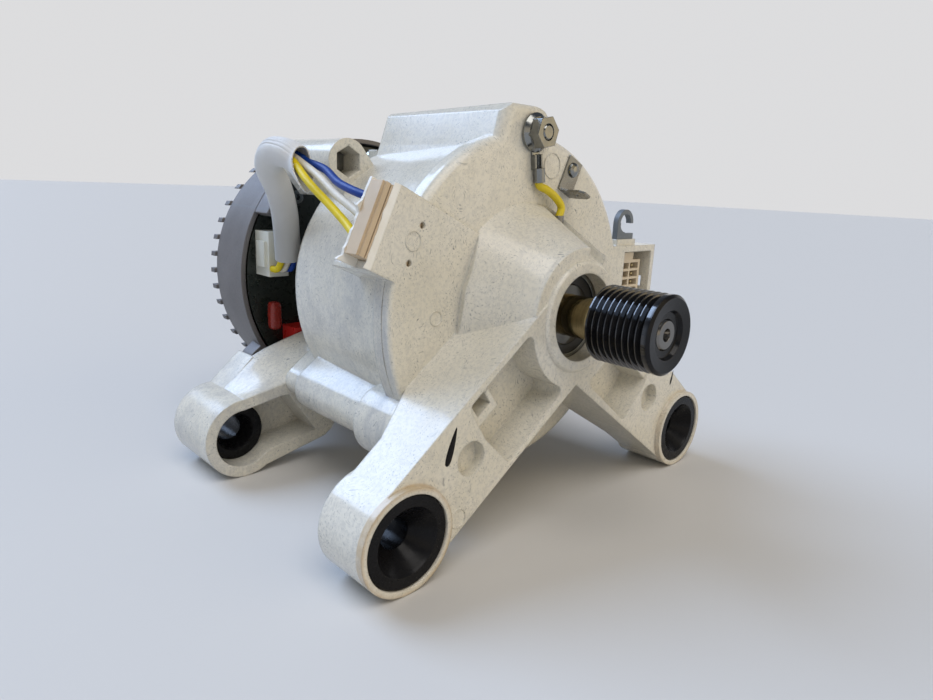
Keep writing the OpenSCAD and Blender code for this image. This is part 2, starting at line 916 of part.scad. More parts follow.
module bearing_inner(b, d0) {
    p = pitch_r(b);
    land = p - b[3] * 0.62;
    color(steel)
        difference() {
            ring(b[0], land, d0, d0 + b[2]);
            translate([0, at(d0 + b[2] / 2), shaft_h])
                rotate([-90, 0, 0])
                    rotate_extrude()
                        translate([p, 0])
                            circle(b[3] + run_gap, $fn = 32);
        }
}

// Two thin seals, fixed in the outer ring and clear of the inner ring
module bearing_seals(b, d0) {
    p = pitch_r(b);
    in = p - b[3] * 0.62 + run_gap;
    out = p + b[3] * 0.62 + 0.9 - press_gap;
    color(black)
        for (d = [d0 + 0.1, d0 + b[2] - 0.9])
            ring(in, out, d, d + 0.8);
}

module bearing_balls(b, d0) {
    color([0.85, 0.85, 0.86])
        translate([0, at(d0 + b[2] / 2), shaft_h])
            for (k = [0:b[4] - 1])
                rotate([0, k * 360 / b[4], 0])
                    translate([pitch_r(b), 0, 0])
                        sphere(b[3], $fn = 32);
}

// Cage: a flat ring with a round window for each ball
module bearing_cage(b, d0) {
    half = b[3] * 0.62 - run_gap;
    web = b[3] + 0.9;
    mid = d0 + b[2] / 2;
    color([0.75, 0.62, 0.35])
        difference() {
            ring(pitch_r(b) - half, pitch_r(b) + half, mid - web, mid + web);
            translate([0, at(mid), shaft_h])
                for (k = [0:b[4] - 1])
                    rotate([0, k * 360 / b[4], 0])
                        rotate([0, 90, 0])
                            cylinder(h = 2 * b[1], r = b[3] + 0.05);
        }
}

module front_bearing_outer() { bearing_outer(front_bearing, front_bearing_set); }
module front_bearing_inner() { bearing_inner(front_bearing, front_bearing_set); }
module front_bearing_seals() { bearing_seals(front_bearing, front_bearing_set); }
module front_bearing_balls() { bearing_balls(front_bearing, front_bearing_set); }
module front_bearing_cage() { bearing_cage(front_bearing, front_bearing_set); }
module rear_bearing_outer() { bearing_outer(rear_bearing, rear_bearing_set); }
module rear_bearing_inner() { bearing_inner(rear_bearing, rear_bearing_set); }
module rear_bearing_seals() { bearing_seals(rear_bearing, rear_bearing_set); }
module rear_bearing_balls() { bearing_balls(rear_bearing, rear_bearing_set); }
module rear_bearing_cage() { bearing_cage(rear_bearing, rear_bearing_set); }

// Spring washer that loads the front bearing against its mouth
module wave_washer() {
    color(steel)
        ring(front_bearing[1] - 3.2, front_bearing[1] - fit_gap, bearing_set - 0.7, bearing_set - 0.05);
}

/* Stator */

bobbin_t = 0.8;

module stator_core() {
    color([0.42, 0.43, 0.45])
        slab(core_front, core_back)
            translate([0, shaft_h])
                difference() {
                    circle(core_r);
                    circle(stator_bore);
                    difference() {
                        circle(slot_out);
                        circle(slot_in);
                        for (k = [0:slots - 1])
                            rotate(k * 360 / slots)
                                translate([0, -tooth_w / 2])
                                    square([core_r, tooth_w]);
                    }
                    for (k = [0:slots - 1])
                        rotate((k + 0.5) * 360 / slots)
                            translate([stator_bore - past, -1.4])
                                square([slot_in - stator_bore + 2 * past, 2.8]);
                }
}

// A rectangular sleeve round one tooth: inner half width, wall, overhang past the core
module tooth_sleeve(k, in, wall, over, r0, r1) {
    translate([0, at((core_front + core_back) / 2), shaft_h])
        rotate([0, k * 360 / slots, 0])
            translate([r0, 0, 0])
                difference() {
                    translate([0, -stack / 2 - over - wall, -in - wall])
                        cube([r1 - r0, stack + 2 * (over + wall), 2 * (in + wall)]);
                    translate([-past, -stack / 2 - over, -in])
                        cube([r1 - r0 + 2 * past, stack + 2 * over, 2 * in]);
                }
}

module coil_bobbins() {
    color([0.92, 0.92, 0.9])
        for (k = [0:slots - 1])
            tooth_sleeve(k, tooth_w / 2 + 0.1, bobbin_t, 0.1, slot_in + 0.6, slot_out - 0.6);
}

module stator_coils() {
    color([0.72, 0.4, 0.2])
        for (k = [0:slots - 1])
            tooth_sleeve(k, tooth_w / 2 + bobbin_t + 0.2, coil_t, bobbin_t + 0.2, slot_in + 2, slot_out - 1);
}

/* Fasteners */

// Screw along the shaft direction: head at station d0, tip at station d1
module screw(x, z, d0, d1, head_r, head_h, r) {
    drive_r = head_r * 0.5;
    tail = d1 > d0 ? head_h : -head_h;
    difference() {
        union() {
            rod(x, z, min(d0, d0 + tail), max(d0, d0 + tail), head_r);
            rod(x, z, min(d0 + tail, d1), max(d0 + tail, d1), r);
        }
        slab(min(d0, d0 + tail * 0.6) - (tail > 0 ? past : 0), max(d0, d0 + tail * 0.6) + (tail > 0 ? 0 : past))
            translate([x, z])
                circle(drive_r, $fn = 6);
    }
}

// Long lower screws: through the cover and the bracket into the lower posts
module tie_screws() {
    color(steel)
        both_sides()
            screw(-post_x(tie_angle), post_z(-tie_angle), cover_set + ear_t + head_h, tie_tip, head_r,
                head_h, screw_r - press_gap);
}

module bracket_screws() {
    color(steel)
        both_sides()
            screw(-bracket_screw_x, bracket_screw_z, drum_end + plate_t + 3, drum_end - 9, 4, 3,
                bracket_screw_r - press_gap);
}

// Upper cover screws, which end in the nuts of the upper posts
module cover_screws() {
    color(steel)
        both_sides()
            screw(-post_x(post_angle), post_z(post_angle), cover_set + ear_t + head_h,
                post_set + nut_depth - 5.5, head_r, head_h, screw_r - press_gap);
}

// Hexagon nuts in the pockets of the upper posts
module cover_nuts() {
    color(steel)
        both_sides()
            difference() {
                slab(post_set + nut_depth - 4, post_set + nut_depth)
                    translate([-post_x(post_angle), post_z(post_angle)])
                        rotate(30)
                            circle(nut_af / sqrt(3), $fn = 6);
                rod(-post_x(post_angle), post_z(post_angle), post_set, post_set + nut_depth + past, screw_r);
            }
}

/* Board and its parts */

board_r = cover_r - cover_wall - 1.2;
module_w = 34;
module_h = 22;
module_t = 6;
module_x = -10;
module_z = shaft_h - 38;

module control_board() {
    color([0.05, 0.1, 0.07])
        slab(board_set, board_set + board_t)
            difference() {
                translate([0, shaft_h])
                    circle(board_r);
                for (a = [45:90:315])
                    translate([standoff_ring * cos(a), shaft_h + standoff_ring * sin(a)])
                        circle(1.7);
            }
}

module board_screws() {
    color(steel)
        for (a = [45:90:315])
            screw(standoff_ring * cos(a), shaft_h + standoff_ring * sin(a), board_set - 2, board_set + 8,
                3, 2, 1.3 - press_gap);
}

connector_x = -55;
connector_z = shaft_h + 2;
connector_w = 9;
connector_h = 19;
connector_set = board_set - 12;

// White header on the board: body, latch ridge and three wire holes
module board_connector() {
    color([0.93, 0.93, 0.9])
        difference() {
            union() {
                slab(connector_set, board_set)
                    translate([connector_x, connector_z])
                        square([connector_w, connector_h]);
                slab(connector_set + 2, board_set - 3)
                    translate([connector_x - 1.2, connector_z + 4])
                        square([1.3, connector_h - 8]);
            }
            for (k = [-1:1])
                rod(wire_end(k)[0], shaft_h + wire_end(k)[2], connector_set - past, connector_set + 6, wire_r);
        }
}

// Red film capacitor with its two legs in the board
module film_capacitor() {
    color([0.62, 0.12, 0.08])
        slab(board_set - 8.5, board_set - 3)
            translate([-52.5, shaft_h - 22.5])
                square([5.2, 12.5]);
    color(steel)
        for (z = [-20, -12.5])
            rod(-49.9, shaft_h + z, board_set - 3, board_set, 0.35);
}

module line_capacitor() {
    color([0.75, 0.1, 0.08])
        slab(board_set - 11, board_set)
            translate([-43, shaft_h - 30.5])
                square([14, 8.5]);
}

module bulk_capacitor() {
    can_r = 11;
    color(black)
        rod(20, shaft_h + 16, board_set + board_t, board_set + board_t + 27, can_r);
}

module power_module() {
    color(black)
        slab(board_set + board_t + 0.5, board_set + board_t + module_t + 0.8)
            translate([module_x, module_z])
                square([module_w, module_h]);
    color(steel)
        for (k = [0:6])
            rod(module_x + 4 + k * 4.3, module_z + 3, board_set + board_t, board_set + board_t + 0.6, 0.5);
}

/* Lead between the plug and the board */

// Route of the sleeve, from its end near the board to its open mouth
sleeve_route = [[-50.5, drum_end + 15, 10.5], [-52, drum_end + 13, 20.5], [-54.5, drum_end + 10, 30.5],
    [-59, drum_end + 6, 39.5], [-65, drum_end + 1.5, 47.5], [-67, drum_end - 6, 52.5], [-65.9, 88.5, 52],
    [-64.4, 82.2, 49.2]];
// Points between the plug and the mouth, for the blue, white and yellow wires
blue_route = [[-66.6, 46, 40.6], [-65.4, 57, 43], [-62.2, 70, 47.1]];
white_route = [[-68, 46, 35.8], [-67.2, 56, 39.4], [-65.6, 69, 44.8]];
yellow_route = [[-69.8, 46, 30.6], [-69.3, 55, 35.2], [-69.5, 68, 42.2]];

// Frame position of a route's point: place to the side, station, height above the shaft
function frame_point(p) = [p[0], at(p[1]), shaft_h + p[2]];
wire_spread = 2 * wire_r + 0.22;
function wire_end(k) = [connector_x + connector_w / 2 + k * wire_spread, connector_set, connector_z - shaft_h + 3.5];

// Wire holes in the back of the plug: distance from its outer end, depth, straight length behind them
wire_in = 2.3;
wire_hole = 4;
wire_straight = 1.6;
plug_rear = plug_set + 1.6 + fit_gap + plug_depth;

// Point on a wire's line in the plug, at a distance behind the plug
function plug_point(k, out) = let (u = plug_reach + plug_out - wire_in, v = wire_mid + k * wire_pitch)
    [-u * cos(plug_angle) + v * sin(plug_angle), plug_rear + out, u * sin(plug_angle) + v * cos(plug_angle)];

// Points of a smooth curve through a route, with n steps between its points
function route_pos(p, i) = p[max(0, min(i, len(p) - 1))];
function smooth(p, n) = [for (i = [0:len(p) - 2], s = [0:n - 1])
    let (t = s / n, a = route_pos(p, i - 1), b = p[i], c = p[i + 1], d = route_pos(p, i + 2))
    0.5 * (2 * b + (c - a) * t + (2 * a - 5 * b + 4 * c - d) * t * t + (3 * b - a - 3 * c + d) * t * t * t),
    p[len(p) - 1]];

function unit(v) = v / norm(v);
function heading(p, i) = unit(p[min(i + 1, len(p) - 1)] - p[max(i - 1, 0)]);

// Ring of points square to a route
function hoop(p, i, r, sides, side) = let (t = heading(p, i), u = unit(cross(t, side)), w = cross(t, u))
    [for (k = [0:sides - 1]) p[i] + r * (cos(k * 360 / sides) * u + sin(k * 360 / sides) * w)];

// Triangles of the wall between ring i and ring j
function wall_faces(i, j, sides) = [for (k = [0:sides - 1], f = [0, 1])
    let (m = (k + 1) % sides)
    f == 0 ? [i * sides + k, j * sides + m, i * sides + m] : [i * sides + k, j * sides + k, j * sides + m]];

// Solid tube along a route
module tube(p, r, sides, side) {
    n = len(p);
    rings = [for (i = [0:n - 1], q = hoop(p, i, r, sides, side)) q];
    polyhedron(rings, concat(
        [for (i = [0:n - 2], face = wall_faces(i, i + 1, sides)) face],
        [for (k = [1:sides - 2]) [0, k, k + 1]],
        [for (k = [1:sides - 2]) [(n - 1) * sides, (n - 1) * sides + k + 1, (n - 1) * sides + k]]));
}

// Hollow tube along a route
module hollow_tube(p, r, wall, sides, side) {
    n = len(p);
    outer = [for (i = [0:n - 1], q = hoop(p, i, r, sides, side)) q];
    inner = [for (i = [n - 1:-1:0], q = hoop(p, i, r - wall, sides, side)) q];
    polyhedron(concat(outer, inner), [for (i = [0:2 * n - 1], face = wall_faces(i, (i + 1) % (2 * n), sides)) face]);
}

sleeve_points = [for (q = smooth(sleeve_route, 2)) frame_point(q)];

// Sideways direction square to the sleeve's route
function sleeve_side(i) = let (t = heading(sleeve_points, i)) unit([1, 0, 0] - t[0] * t);

// One wire of the lead: straight in the plug, free to the mouth, side by side in the sleeve
module lead_wire(route, k) {
    end = wire_end(k);
    plugged = plug_point(k, fit_gap - wire_hole);
    free = smooth(concat([plug_point(k, wire_straight)], route), 2);
    tail = [end + [0, -5.2, 0.9], end + [0, -2.6, 0], end];
    inside = [for (i = [len(sleeve_points) - 1:-1:0]) sleeve_points[i] + k * wire_spread * sleeve_side(i)];
    outside = [for (q = concat([plugged], free)) frame_point(q)];
    tube(concat(outside, inside, [for (q = tail) frame_point(q)]), wire_r, 8, [1, 0, 0]);
}

module lead_wire_blue() { color([0.1, 0.2, 0.62]) lead_wire(blue_route, 1); }
module lead_wire_white() { color([0.9, 0.88, 0.82]) lead_wire(white_route, 0); }
module lead_wire_yellow() { color([0.88, 0.78, 0.05]) lead_wire(yellow_route, -1); }

module lead_sleeve() {
    color([0.94, 0.94, 0.92])
        hollow_tube(sleeve_points, sleeve_r, sleeve_wall, 12, [1, 0, 0]);
}

// Tan plug with a ribbed face, pushed into its holder
module lead_plug() {
    w = plug_slot - 2 * fit_gap;
    color([0.78, 0.68, 0.53])
        difference() {
            union() {
                slab(plug_set + 1.6 + fit_gap, plug_set + 1.6 + fit_gap + plug_depth)
                    at_plug()
                        translate([plug_reach - plug_in + fit_gap, 1.5 - w / 2])
                            square([plug_in - fit_gap + plug_out, w]);
                // Two long ribs on the front face
                slab(plug_set + 1, plug_set + 1.6 + 2 * fit_gap)
                    at_plug()
                        for (u = [0.8, plug_out - 2.6])
                            translate([plug_reach + u, 1.5 - w / 2])
                                square([1.8, w]);
            }
            for (k = [-1:1])
                rod(plug_point(k, 0)[0], shaft_h + plug_point(k, 0)[2], plug_rear - wire_hole, plug_rear + past,
                    wire_r + press_gap);
        }
}

/* Earth connection */

stud_r = 2.9;
stud_tip = face_set - 7.2;
rivet_r = 1.6;
rivet_ring = 56.3;
terminal_turn = 8;
earth_wire_r = 1.5;
terminal_t = 0.8;
crimp_x = 12.6;
crimp_up = 31.2;
crimp_z = shaft_h + crimp_up;

function tab_x(r) = r * cos(tab_angle);
function tab_z(r) = shaft_h + r * sin(tab_angle);

module earth_stud() {
    color(steel)
        turned_at(0, boss_z, stud_tip)
            polygon([[0, 0], [stud_r - 0.7, 0], [stud_r, 0.7], [stud_r, face_set + 18 - stud_tip],
                [0, face_set + 18 - stud_tip]]);
}

// A profile turned about its own axis along the shaft direction
module turned_at(x, z, d0) {
    translate([x, at(d0), z])
        rotate([-90, 0, 0])
            rotate_extrude()
                children();
}

// Flange nut: six-sided body on a round flange
module earth_nut() {
    flange = 6.9;
    seat = face_set - terminal_t;
    color(steel)
        difference() {
            union() {
                turned_at(0, boss_z, seat - 2)
                    polygon([[0, 0], [5.4, 0], [flange, 1.3], [flange, 2], [0, 2]]);
                slab(seat - 6.2, seat - 1)
                    translate([0, boss_z])
                        rotate(12)
                            circle(nut_af / sqrt(3), $fn = 6);
            }
            rod(0, boss_z, seat - 7, seat + past, stud_r + press_gap);
        }
}

// A place on the drum face, hanging from the earth stud and turned sideways
module at_terminal() {
    translate([0, at(face_set), boss_z])
        rotate([0, -terminal_turn, 0])
            children();
}

barrel_r = earth_wire_r + 0.6;
barrel_top = -13;
barrel_len = 4.5;

// Ring terminal under the nut: ring, folded neck, wire barrel
module earth_ring_terminal() {
    color(steel)
        at_terminal()
            difference() {
                union() {
                    rotate([90, 0, 0])
                        cylinder(h = terminal_t, r = 5.6);
                    translate([-2, -terminal_t, barrel_top])
                        cube([4, terminal_t, 9]);
                    // Folded sides of the neck
                    for (x = [-2, 1.3])
                        translate([x, -2.2, barrel_top])
                            cube([0.7, 2.2, 5.4]);
                    translate([0, -barrel_r, barrel_top - barrel_len])
                        cylinder(h = barrel_len + 0.6, r = barrel_r);
                }
                rotate([90, 0, 0])
                    translate([0, 0, -past])
                        cylinder(h = terminal_t + 2 * past, r = stud_r + press_gap);
                translate([0, -barrel_r, barrel_top - barrel_len - past])
                    cylinder(h = barrel_len - 1 + past, r = earth_wire_r + press_gap);
            }
}

earth_bottom = [for (z = [barrel_top - 3, barrel_top - barrel_len - 1])
    [-z * sin(terminal_turn), face_set - barrel_r, boss_z - shaft_h + z * cos(terminal_turn)]];
// Route of the earth wire, from the ring terminal to the crimp in the trough
earth_route = concat(earth_bottom, [[6, 27, 43.3], [11, 26.5, 40.5], [14.2, 26.2, 37],
    [crimp_x, 26, crimp_up + 1.5], [crimp_x, 26, crimp_up - 0.5]]);

module earth_wire() {
    color([0.88, 0.75, 0.05])
        tube([for (q = smooth(earth_route, 2)) frame_point(q)], earth_wire_r, 8, [0, 1, 0]);
}

// Crimp at the lower end: wire barrel and a pin in the housing
module earth_crimp() {
    color(steel)
        difference() {
            union() {
                translate([crimp_x, at(26), crimp_z - 3.4])
                    cylinder(h = 6.2, r = barrel_r);
                rod(crimp_x, crimp_z - 2.2, 26, face_set + 2.5, 1.2);
            }
            translate([crimp_x, at(26), crimp_z - 0.8])
                cylinder(h = 6, r = earth_wire_r + press_gap);
        }
}

// Bent earth tab: riveted foot on the drum face, blade pointing forward
module earth_tab() {
    foot_w = 8.4;
    foot_len = 14;
    blade_x = 1.4;
    blade_w = 6.3;
    color(steel)
        translate([0, 0, shaft_h])
            rotate([0, 90 - tab_angle, 0]) {
                difference() {
                    translate([-foot_w / 2, at(face_set - terminal_t), 46.6])
                        cube([foot_w, terminal_t, foot_len]);
                    translate([0, at(face_set - 2), rivet_ring])
                        rotate([-90, 0, 0])
                            cylinder(h = 4, r = rivet_r + press_gap);
                }
                translate([0, at(face_set), 46.6])
                    mirror([0, 1, 0])
                        linear_extrude(terminal_t)
                            difference() {
                                polygon([[-foot_w / 2, 0], [foot_w / 2, 0], [blade_x + blade_w / 2, 3],
                                    [blade_x + blade_w / 2, 8.5], [blade_x + blade_w / 2 - 1.2, 10.5],
                                    [blade_x - blade_w / 2 + 1.2, 10.5], [blade_x - blade_w / 2, 8.5],
                                    [blade_x - blade_w / 2, 3]]);
                                translate([blade_x, 5.5])
                                    circle(0.9);
                            }
            }
}

module earth_rivet() {
    color(steel)
        turned_at(tab_x(rivet_ring), tab_z(rivet_ring), face_set - terminal_t - 1.6)
            polygon([[0, 0], [1.5, 0.1], [2.6, 0.8], [2.9, 1.6], [rivet_r, 1.6], [rivet_r, 1.6 + terminal_t + 4.5],
                [0, 1.6 + terminal_t + 4.5]]);
}

/* Signal socket inserts and cable hook */

pin_rows = 4;
pin_pitch = 3.8;
cell_w = 6.4;
block_w = 17.2;
block_h = pin_rows * pin_pitch + 1.6;
block_x = cavity_x + 0.8;
block_z = socket_top - socket_h + socket_wall + 0.6;
block_set = face_set + 3;

function cell_x(c) = block_x + 1.6 + c * (cell_w + 1.2);
function cell_z(k) = block_z + 1.3 + k * pin_pitch;

// Beige pin block in the socket: two columns of cells, a narrow key on top
module signal_pin_block() {
    color([0.85, 0.74, 0.55])
        difference() {
            union() {
                slab(block_set, face_set + cavity_depth)
                    translate([block_x, block_z])
                        square([block_w, block_h]);
                slab(block_set, face_set + cavity_depth)
                    translate([block_x, block_z + block_h - past])
                        square([block_w - 6, 3.4 + past]);
            }
            for (c = [0, 1], k = [0:pin_rows - 1])
                slab(block_set - past, block_set + 7)
                    translate([cell_x(c), cell_z(k)])
                        square([cell_w, pin_pitch - 1.1]);
        }
}

module signal_pins() {
    color([0.8, 0.72, 0.45])
        for (c = [0, 1], k = [0:pin_rows - 1])
            slab(block_set + 1, block_set + 7)
                translate([cell_x(c) + cell_w / 2 - 0.5, cell_z(k) + (pin_pitch - 2.1) / 2])
                    square([1, 1]);
}

hook_set = face_set + 3;
hook_t = 2.6;
hook_r = 5.9;
hook_wall = 1.9;
hook_x = 69.6;
hook_up = 2.7;

// Grey cable hook above the socket: an open C on a flat foot
module cable_hook() {
    mid = hook_up + hook_r + 1.2;
    gap_low = mid - hook_r + 3.2;
    color([0.34, 0.36, 0.38])
        slab(hook_set, hook_set + hook_t)
            translate([hook_x, socket_top]) {
                translate([-hook_r, hook_up])
                    square([2 * hook_r + 0.6, 2.6]);
                translate([-hook_r, hook_up])
                    square([hook_wall + 0.3, mid - hook_up]);
                difference() {
                    translate([0, mid])
                        circle(hook_r);
                    translate([0, mid])
                        circle(hook_r - hook_wall);
                    translate([0, gap_low - 4])
                        square([hook_r + past, 6.6]);
                }
            }
}

motor_housing();
rear_bracket();
heat_sink_cover();
front_bush_left();
front_bush_right();
rear_bush_left();
rear_bush_right();
shaft();
rotor_core();
rotor_magnets();
sensor_magnet();
pulley();
front_bearing_outer();
front_bearing_inner();
front_bearing_seals();
front_bearing_balls();
front_bearing_cage();
rear_bearing_outer();
rear_bearing_inner();
rear_bearing_seals();
rear_bearing_balls();
rear_bearing_cage();
wave_washer();
stator_core();
coil_bobbins();
stator_coils();
tie_screws();
bracket_screws();
cover_screws();
cover_nuts();
control_board();
board_screws();
board_connector();
film_capacitor();
line_capacitor();
bulk_capacitor();
power_module();
lead_plug();
lead_wire_blue();
lead_wire_white();
lead_wire_yellow();
lead_sleeve();
earth_stud();
earth_nut();
earth_ring_terminal();
earth_wire();
earth_crimp();
earth_tab();
earth_rivet();
signal_pin_block();
signal_pins();
cable_hook();
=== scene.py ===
import bpy
import numpy as np
from mathutils import Matrix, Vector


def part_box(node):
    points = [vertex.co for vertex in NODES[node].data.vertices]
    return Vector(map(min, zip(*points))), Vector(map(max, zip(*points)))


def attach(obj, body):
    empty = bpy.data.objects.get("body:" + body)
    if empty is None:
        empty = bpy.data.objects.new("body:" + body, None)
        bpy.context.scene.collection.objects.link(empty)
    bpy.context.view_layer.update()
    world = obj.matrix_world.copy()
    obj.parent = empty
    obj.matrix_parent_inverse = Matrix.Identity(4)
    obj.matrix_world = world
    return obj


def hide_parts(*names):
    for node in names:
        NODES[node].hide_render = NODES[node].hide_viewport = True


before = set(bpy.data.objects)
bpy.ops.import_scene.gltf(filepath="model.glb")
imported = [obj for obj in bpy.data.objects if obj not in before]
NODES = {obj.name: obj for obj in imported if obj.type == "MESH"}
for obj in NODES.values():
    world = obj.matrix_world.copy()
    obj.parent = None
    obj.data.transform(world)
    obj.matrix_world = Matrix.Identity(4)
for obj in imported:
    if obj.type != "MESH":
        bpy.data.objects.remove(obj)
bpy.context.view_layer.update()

bl_info = {
    "name": "Washing machine motor finish",
    "version": (1, 0, 0),
    "blender": (4, 5, 0),
    "location": "View3D > Sidebar > Motor",
    "description": "Dresses the packed motor: moulding, casting, lead, earth connection and stage",
    "category": "Object",
}

MM = 0.001
BODY = "stator"

# Camera of the photograph, in the frame of the motor, metres
PHOTO_WIDTH = 933
FOCAL_PIXELS = 667.524
SENSOR_WIDTH = 36.0
CAMERA_PLACE = (-0.191497, -0.206968, 0.121007)
CAMERA_RIGHT = (0.7235826, -0.6889534, 0.0420884)
CAMERA_DOWN = (-0.1376512, -0.2037843, -0.9692905)
CAMERA_FORWARD = (0.6763729, 0.6955682, -0.2422901)

# Frame place of the front lug faces and of the legs' front faces, and height of the shaft, millimetres
LUG_Y = -70.0
LEG_FACE_Y = LUG_Y + 2.0
SHAFT_H = 76.5
# Centres of the front eyes, metres
EYE_X, EYE_Z = 0.0783, 0.0172
# Layers of fibres in the moulding: turn of the pattern, scale and shift
FIBRE_LAYERS = (((0.3, 0.5, 0.1), 1150.0, 0.0), ((1.2, -0.4, 0.9), 1400.0, 3.1),
                ((-0.7, 1.4, 2.0), 1700.0, 7.7))
# Height of the line where the cover's mould parts, metres
PARTING_Z = 0.107
# Braid of the sleeve: its pattern's run along and round the whole piece, radians
BRAID_ALONG, BRAID_ROUND = 1630.0, 276.0

# Routes of the lead as in the part's source: place to the side, station behind the lug faces and height
# above the shaft, millimetres
SLEEVE_ROUTE = [[-50.5, 118, 10.5], [-52, 116, 20.5], [-54.5, 113, 30.5], [-59, 109, 39.5],
                [-65, 104.5, 47.5], [-67, 97, 52.5], [-65.9, 88.5, 52], [-64.4, 82.2, 49.2]]
# The lip of the sleeve's oblique mouth goes on beside the yellow wire
LIP_ROUTE = [[-65.6, 76, 46.4], [-66.8, 69, 43]]
# Free parts of the wires, between the plug and the sleeve's mouth
FREE_ROUTES = {
    "blue": [[-66.6, 46, 40.6], [-65.4, 57, 43], [-62.2, 70, 47.1]],
    "white": [[-68, 46, 35.8], [-67.2, 56, 39.4], [-65.6, 69, 44.8]],
    "yellow": [[-69.8, 46, 30.6], [-69.3, 55, 35.2], [-69.5, 68, 42.2]],
}
# Places of the wires side by side in the sleeve, and the distance between them
WIRE_ORDER = {"blue": 1, "white": 0, "yellow": -1}
WIRE_SPREAD = 3.02
# Plug: turn of its slot, reach of its wires from the shaft and station of its back
PLUG_ANGLE = np.radians(24)
PLUG_HOLE, PLUG_BACK = 76.5, 37.0
# Middle of the wires along the plug, and the distance between them
WIRE_MID, WIRE_PITCH = 2.5, 6.4
# End of the middle wire at the board
CONNECTOR_END = (-50.5, 126.0, 5.5)
# Route of the earth wire
EARTH_ROUTE = [[2.0, 27.9, 48.8], [2.57, 27.9, 44.9], [6, 27, 43.3], [11, 26.5, 40.5],
               [14.2, 26.2, 37], [12.6, 26, 32.7], [12.6, 26, 30.7]]


class Value:
    """One output of a material's nodes. Arithmetic on it adds Math nodes."""

    def __init__(self, finish, socket):
        self.finish, self.socket = finish, socket

    def _math(self, operation, first, second):
        return self.finish.node("ShaderNodeMath", {"operation": operation}, [first, second])

    def __add__(self, other):
        return self._math("ADD", self, other)

    def __sub__(self, other):
        return self._math("SUBTRACT", self, other)

    def __rsub__(self, other):
        return self._math("SUBTRACT", other, self)

    def __mul__(self, other):
        return self._math("MULTIPLY", self, other)

    def __pow__(self, other):
        return self._math("POWER", self, other)

    def __gt__(self, other):
        return self._math("GREATER_THAN", self, other)

    __radd__ = __add__
    __rmul__ = __mul__


class Finish:
    """A procedural material: its nodes are added by node(), and its shader is fed by feed()."""

    def __init__(self, name, **constants):
        self.material = bpy.data.materials.new(name)
        self.material.use_nodes = True
        self.tree = self.material.node_tree
        self.shader = self.tree.nodes["Principled BSDF"]
        for socket, number in constants.items():
            self.feed(socket.replace("_", " "), number)

    def _set(self, socket, value):
        if isinstance(value, Value):
            self.tree.links.new(value.socket, socket)
        elif hasattr(value, "__len__") and len(value) == 3 and socket.type == "RGBA":
            socket.default_value = (*value, 1.0)
        else:
            socket.default_value = value

    def feed(self, name, value):
        """Set or link one input of the shader."""
        self._set(self.shader.inputs[name], value)

    def node(self, kind, settings=None, inputs=None, output=0):
        """Add a node: its type, its settings, the values or links of its inputs, and the output to take."""
        made = self.tree.nodes.new(kind)
        for key, value in (settings or {}).items():
            setattr(made, key, value)
        pairs = inputs.items() if isinstance(inputs, dict) else enumerate(inputs or [])
        for key, value in pairs:
            self._set(made.inputs[key], value)
        return Value(self, made.outputs[output])

    def place(self):
        """Object coordinates."""
        return self.node("ShaderNodeTexCoord", output="Object")

    def axis(self, letter):
        """One object coordinate as a value."""
        return self.node("ShaderNodeSeparateXYZ", None, [self.place()], letter)

    def mapped(self, place, turn=(0, 0, 0), size=(1, 1, 1), shift=(0, 0, 0)):
        """Coordinates turned and stretched by a Mapping node."""
        return self.node("ShaderNodeMapping", None,
                         {"Vector": place, "Rotation": turn, "Scale": size, "Location": shift})

    def noise(self, place, scale, detail=2.0, roughness=0.5):
        """Fractal noise from 0 to 1."""
        return self.node("ShaderNodeTexNoise", None,
                         {"Vector": place, "Scale": scale, "Detail": detail, "Roughness": roughness})

    def swirled(self, place, scale, reach):
        """Coordinates pushed about by a coarse noise, so that a stretched pattern turns as it goes."""
        coarse = {"Vector": place, "Scale": scale, "Detail": 0.0}
        push = self.node("ShaderNodeTexNoise", None, coarse, "Color")
        push = self.node("ShaderNodeVectorMath", {"operation": "SCALE"}, {0: push, "Scale": reach})
        return self.node("ShaderNodeVectorMath", {"operation": "ADD"}, [place, push])

    def step(self, value, low, high, start=0.0, end=1.0):
        """Smooth step of a value from low to high."""
        return self.node("ShaderNodeMapRange", {"interpolation_type": "SMOOTHSTEP"},
                         {"Value": value, "From Min": low, "From Max": high, "To Min": start, "To Max": end})

    def mix(self, factor, first, second):
        """Mix of two colours."""
        return self.node("ShaderNodeMix", {"data_type": "RGBA"}, {0: factor, 6: first, 7: second}, 2)

    def rounded(self, radius):
        """Normal with the sharp edges of a moulding or casting eased by a radius."""
        return self.node("ShaderNodeBevel", {"samples": 6}, {"Radius": radius})

    def bump(self, height, strength, distance, normal=None):
        """Feed a height through a Bump node to the shader's normal."""
        inputs = {"Height": height, "Strength": strength, "Distance": distance}
        if normal is not None:
            inputs["Normal"] = normal
        self.feed("Normal", self.node("ShaderNodeBump", None, inputs))


def near_axis(finish, x, z, inner, outer):
    """Mask that is 1 near a line along Y at (x, z), fading to 0 between two radii."""
    offset_x, offset_z = finish.axis("X") - x, finish.axis("Z") - z
    radius = (offset_x * offset_x + offset_z * offset_z) ** 0.5
    return finish.step(radius, inner, outer, 1.0, 0.0)


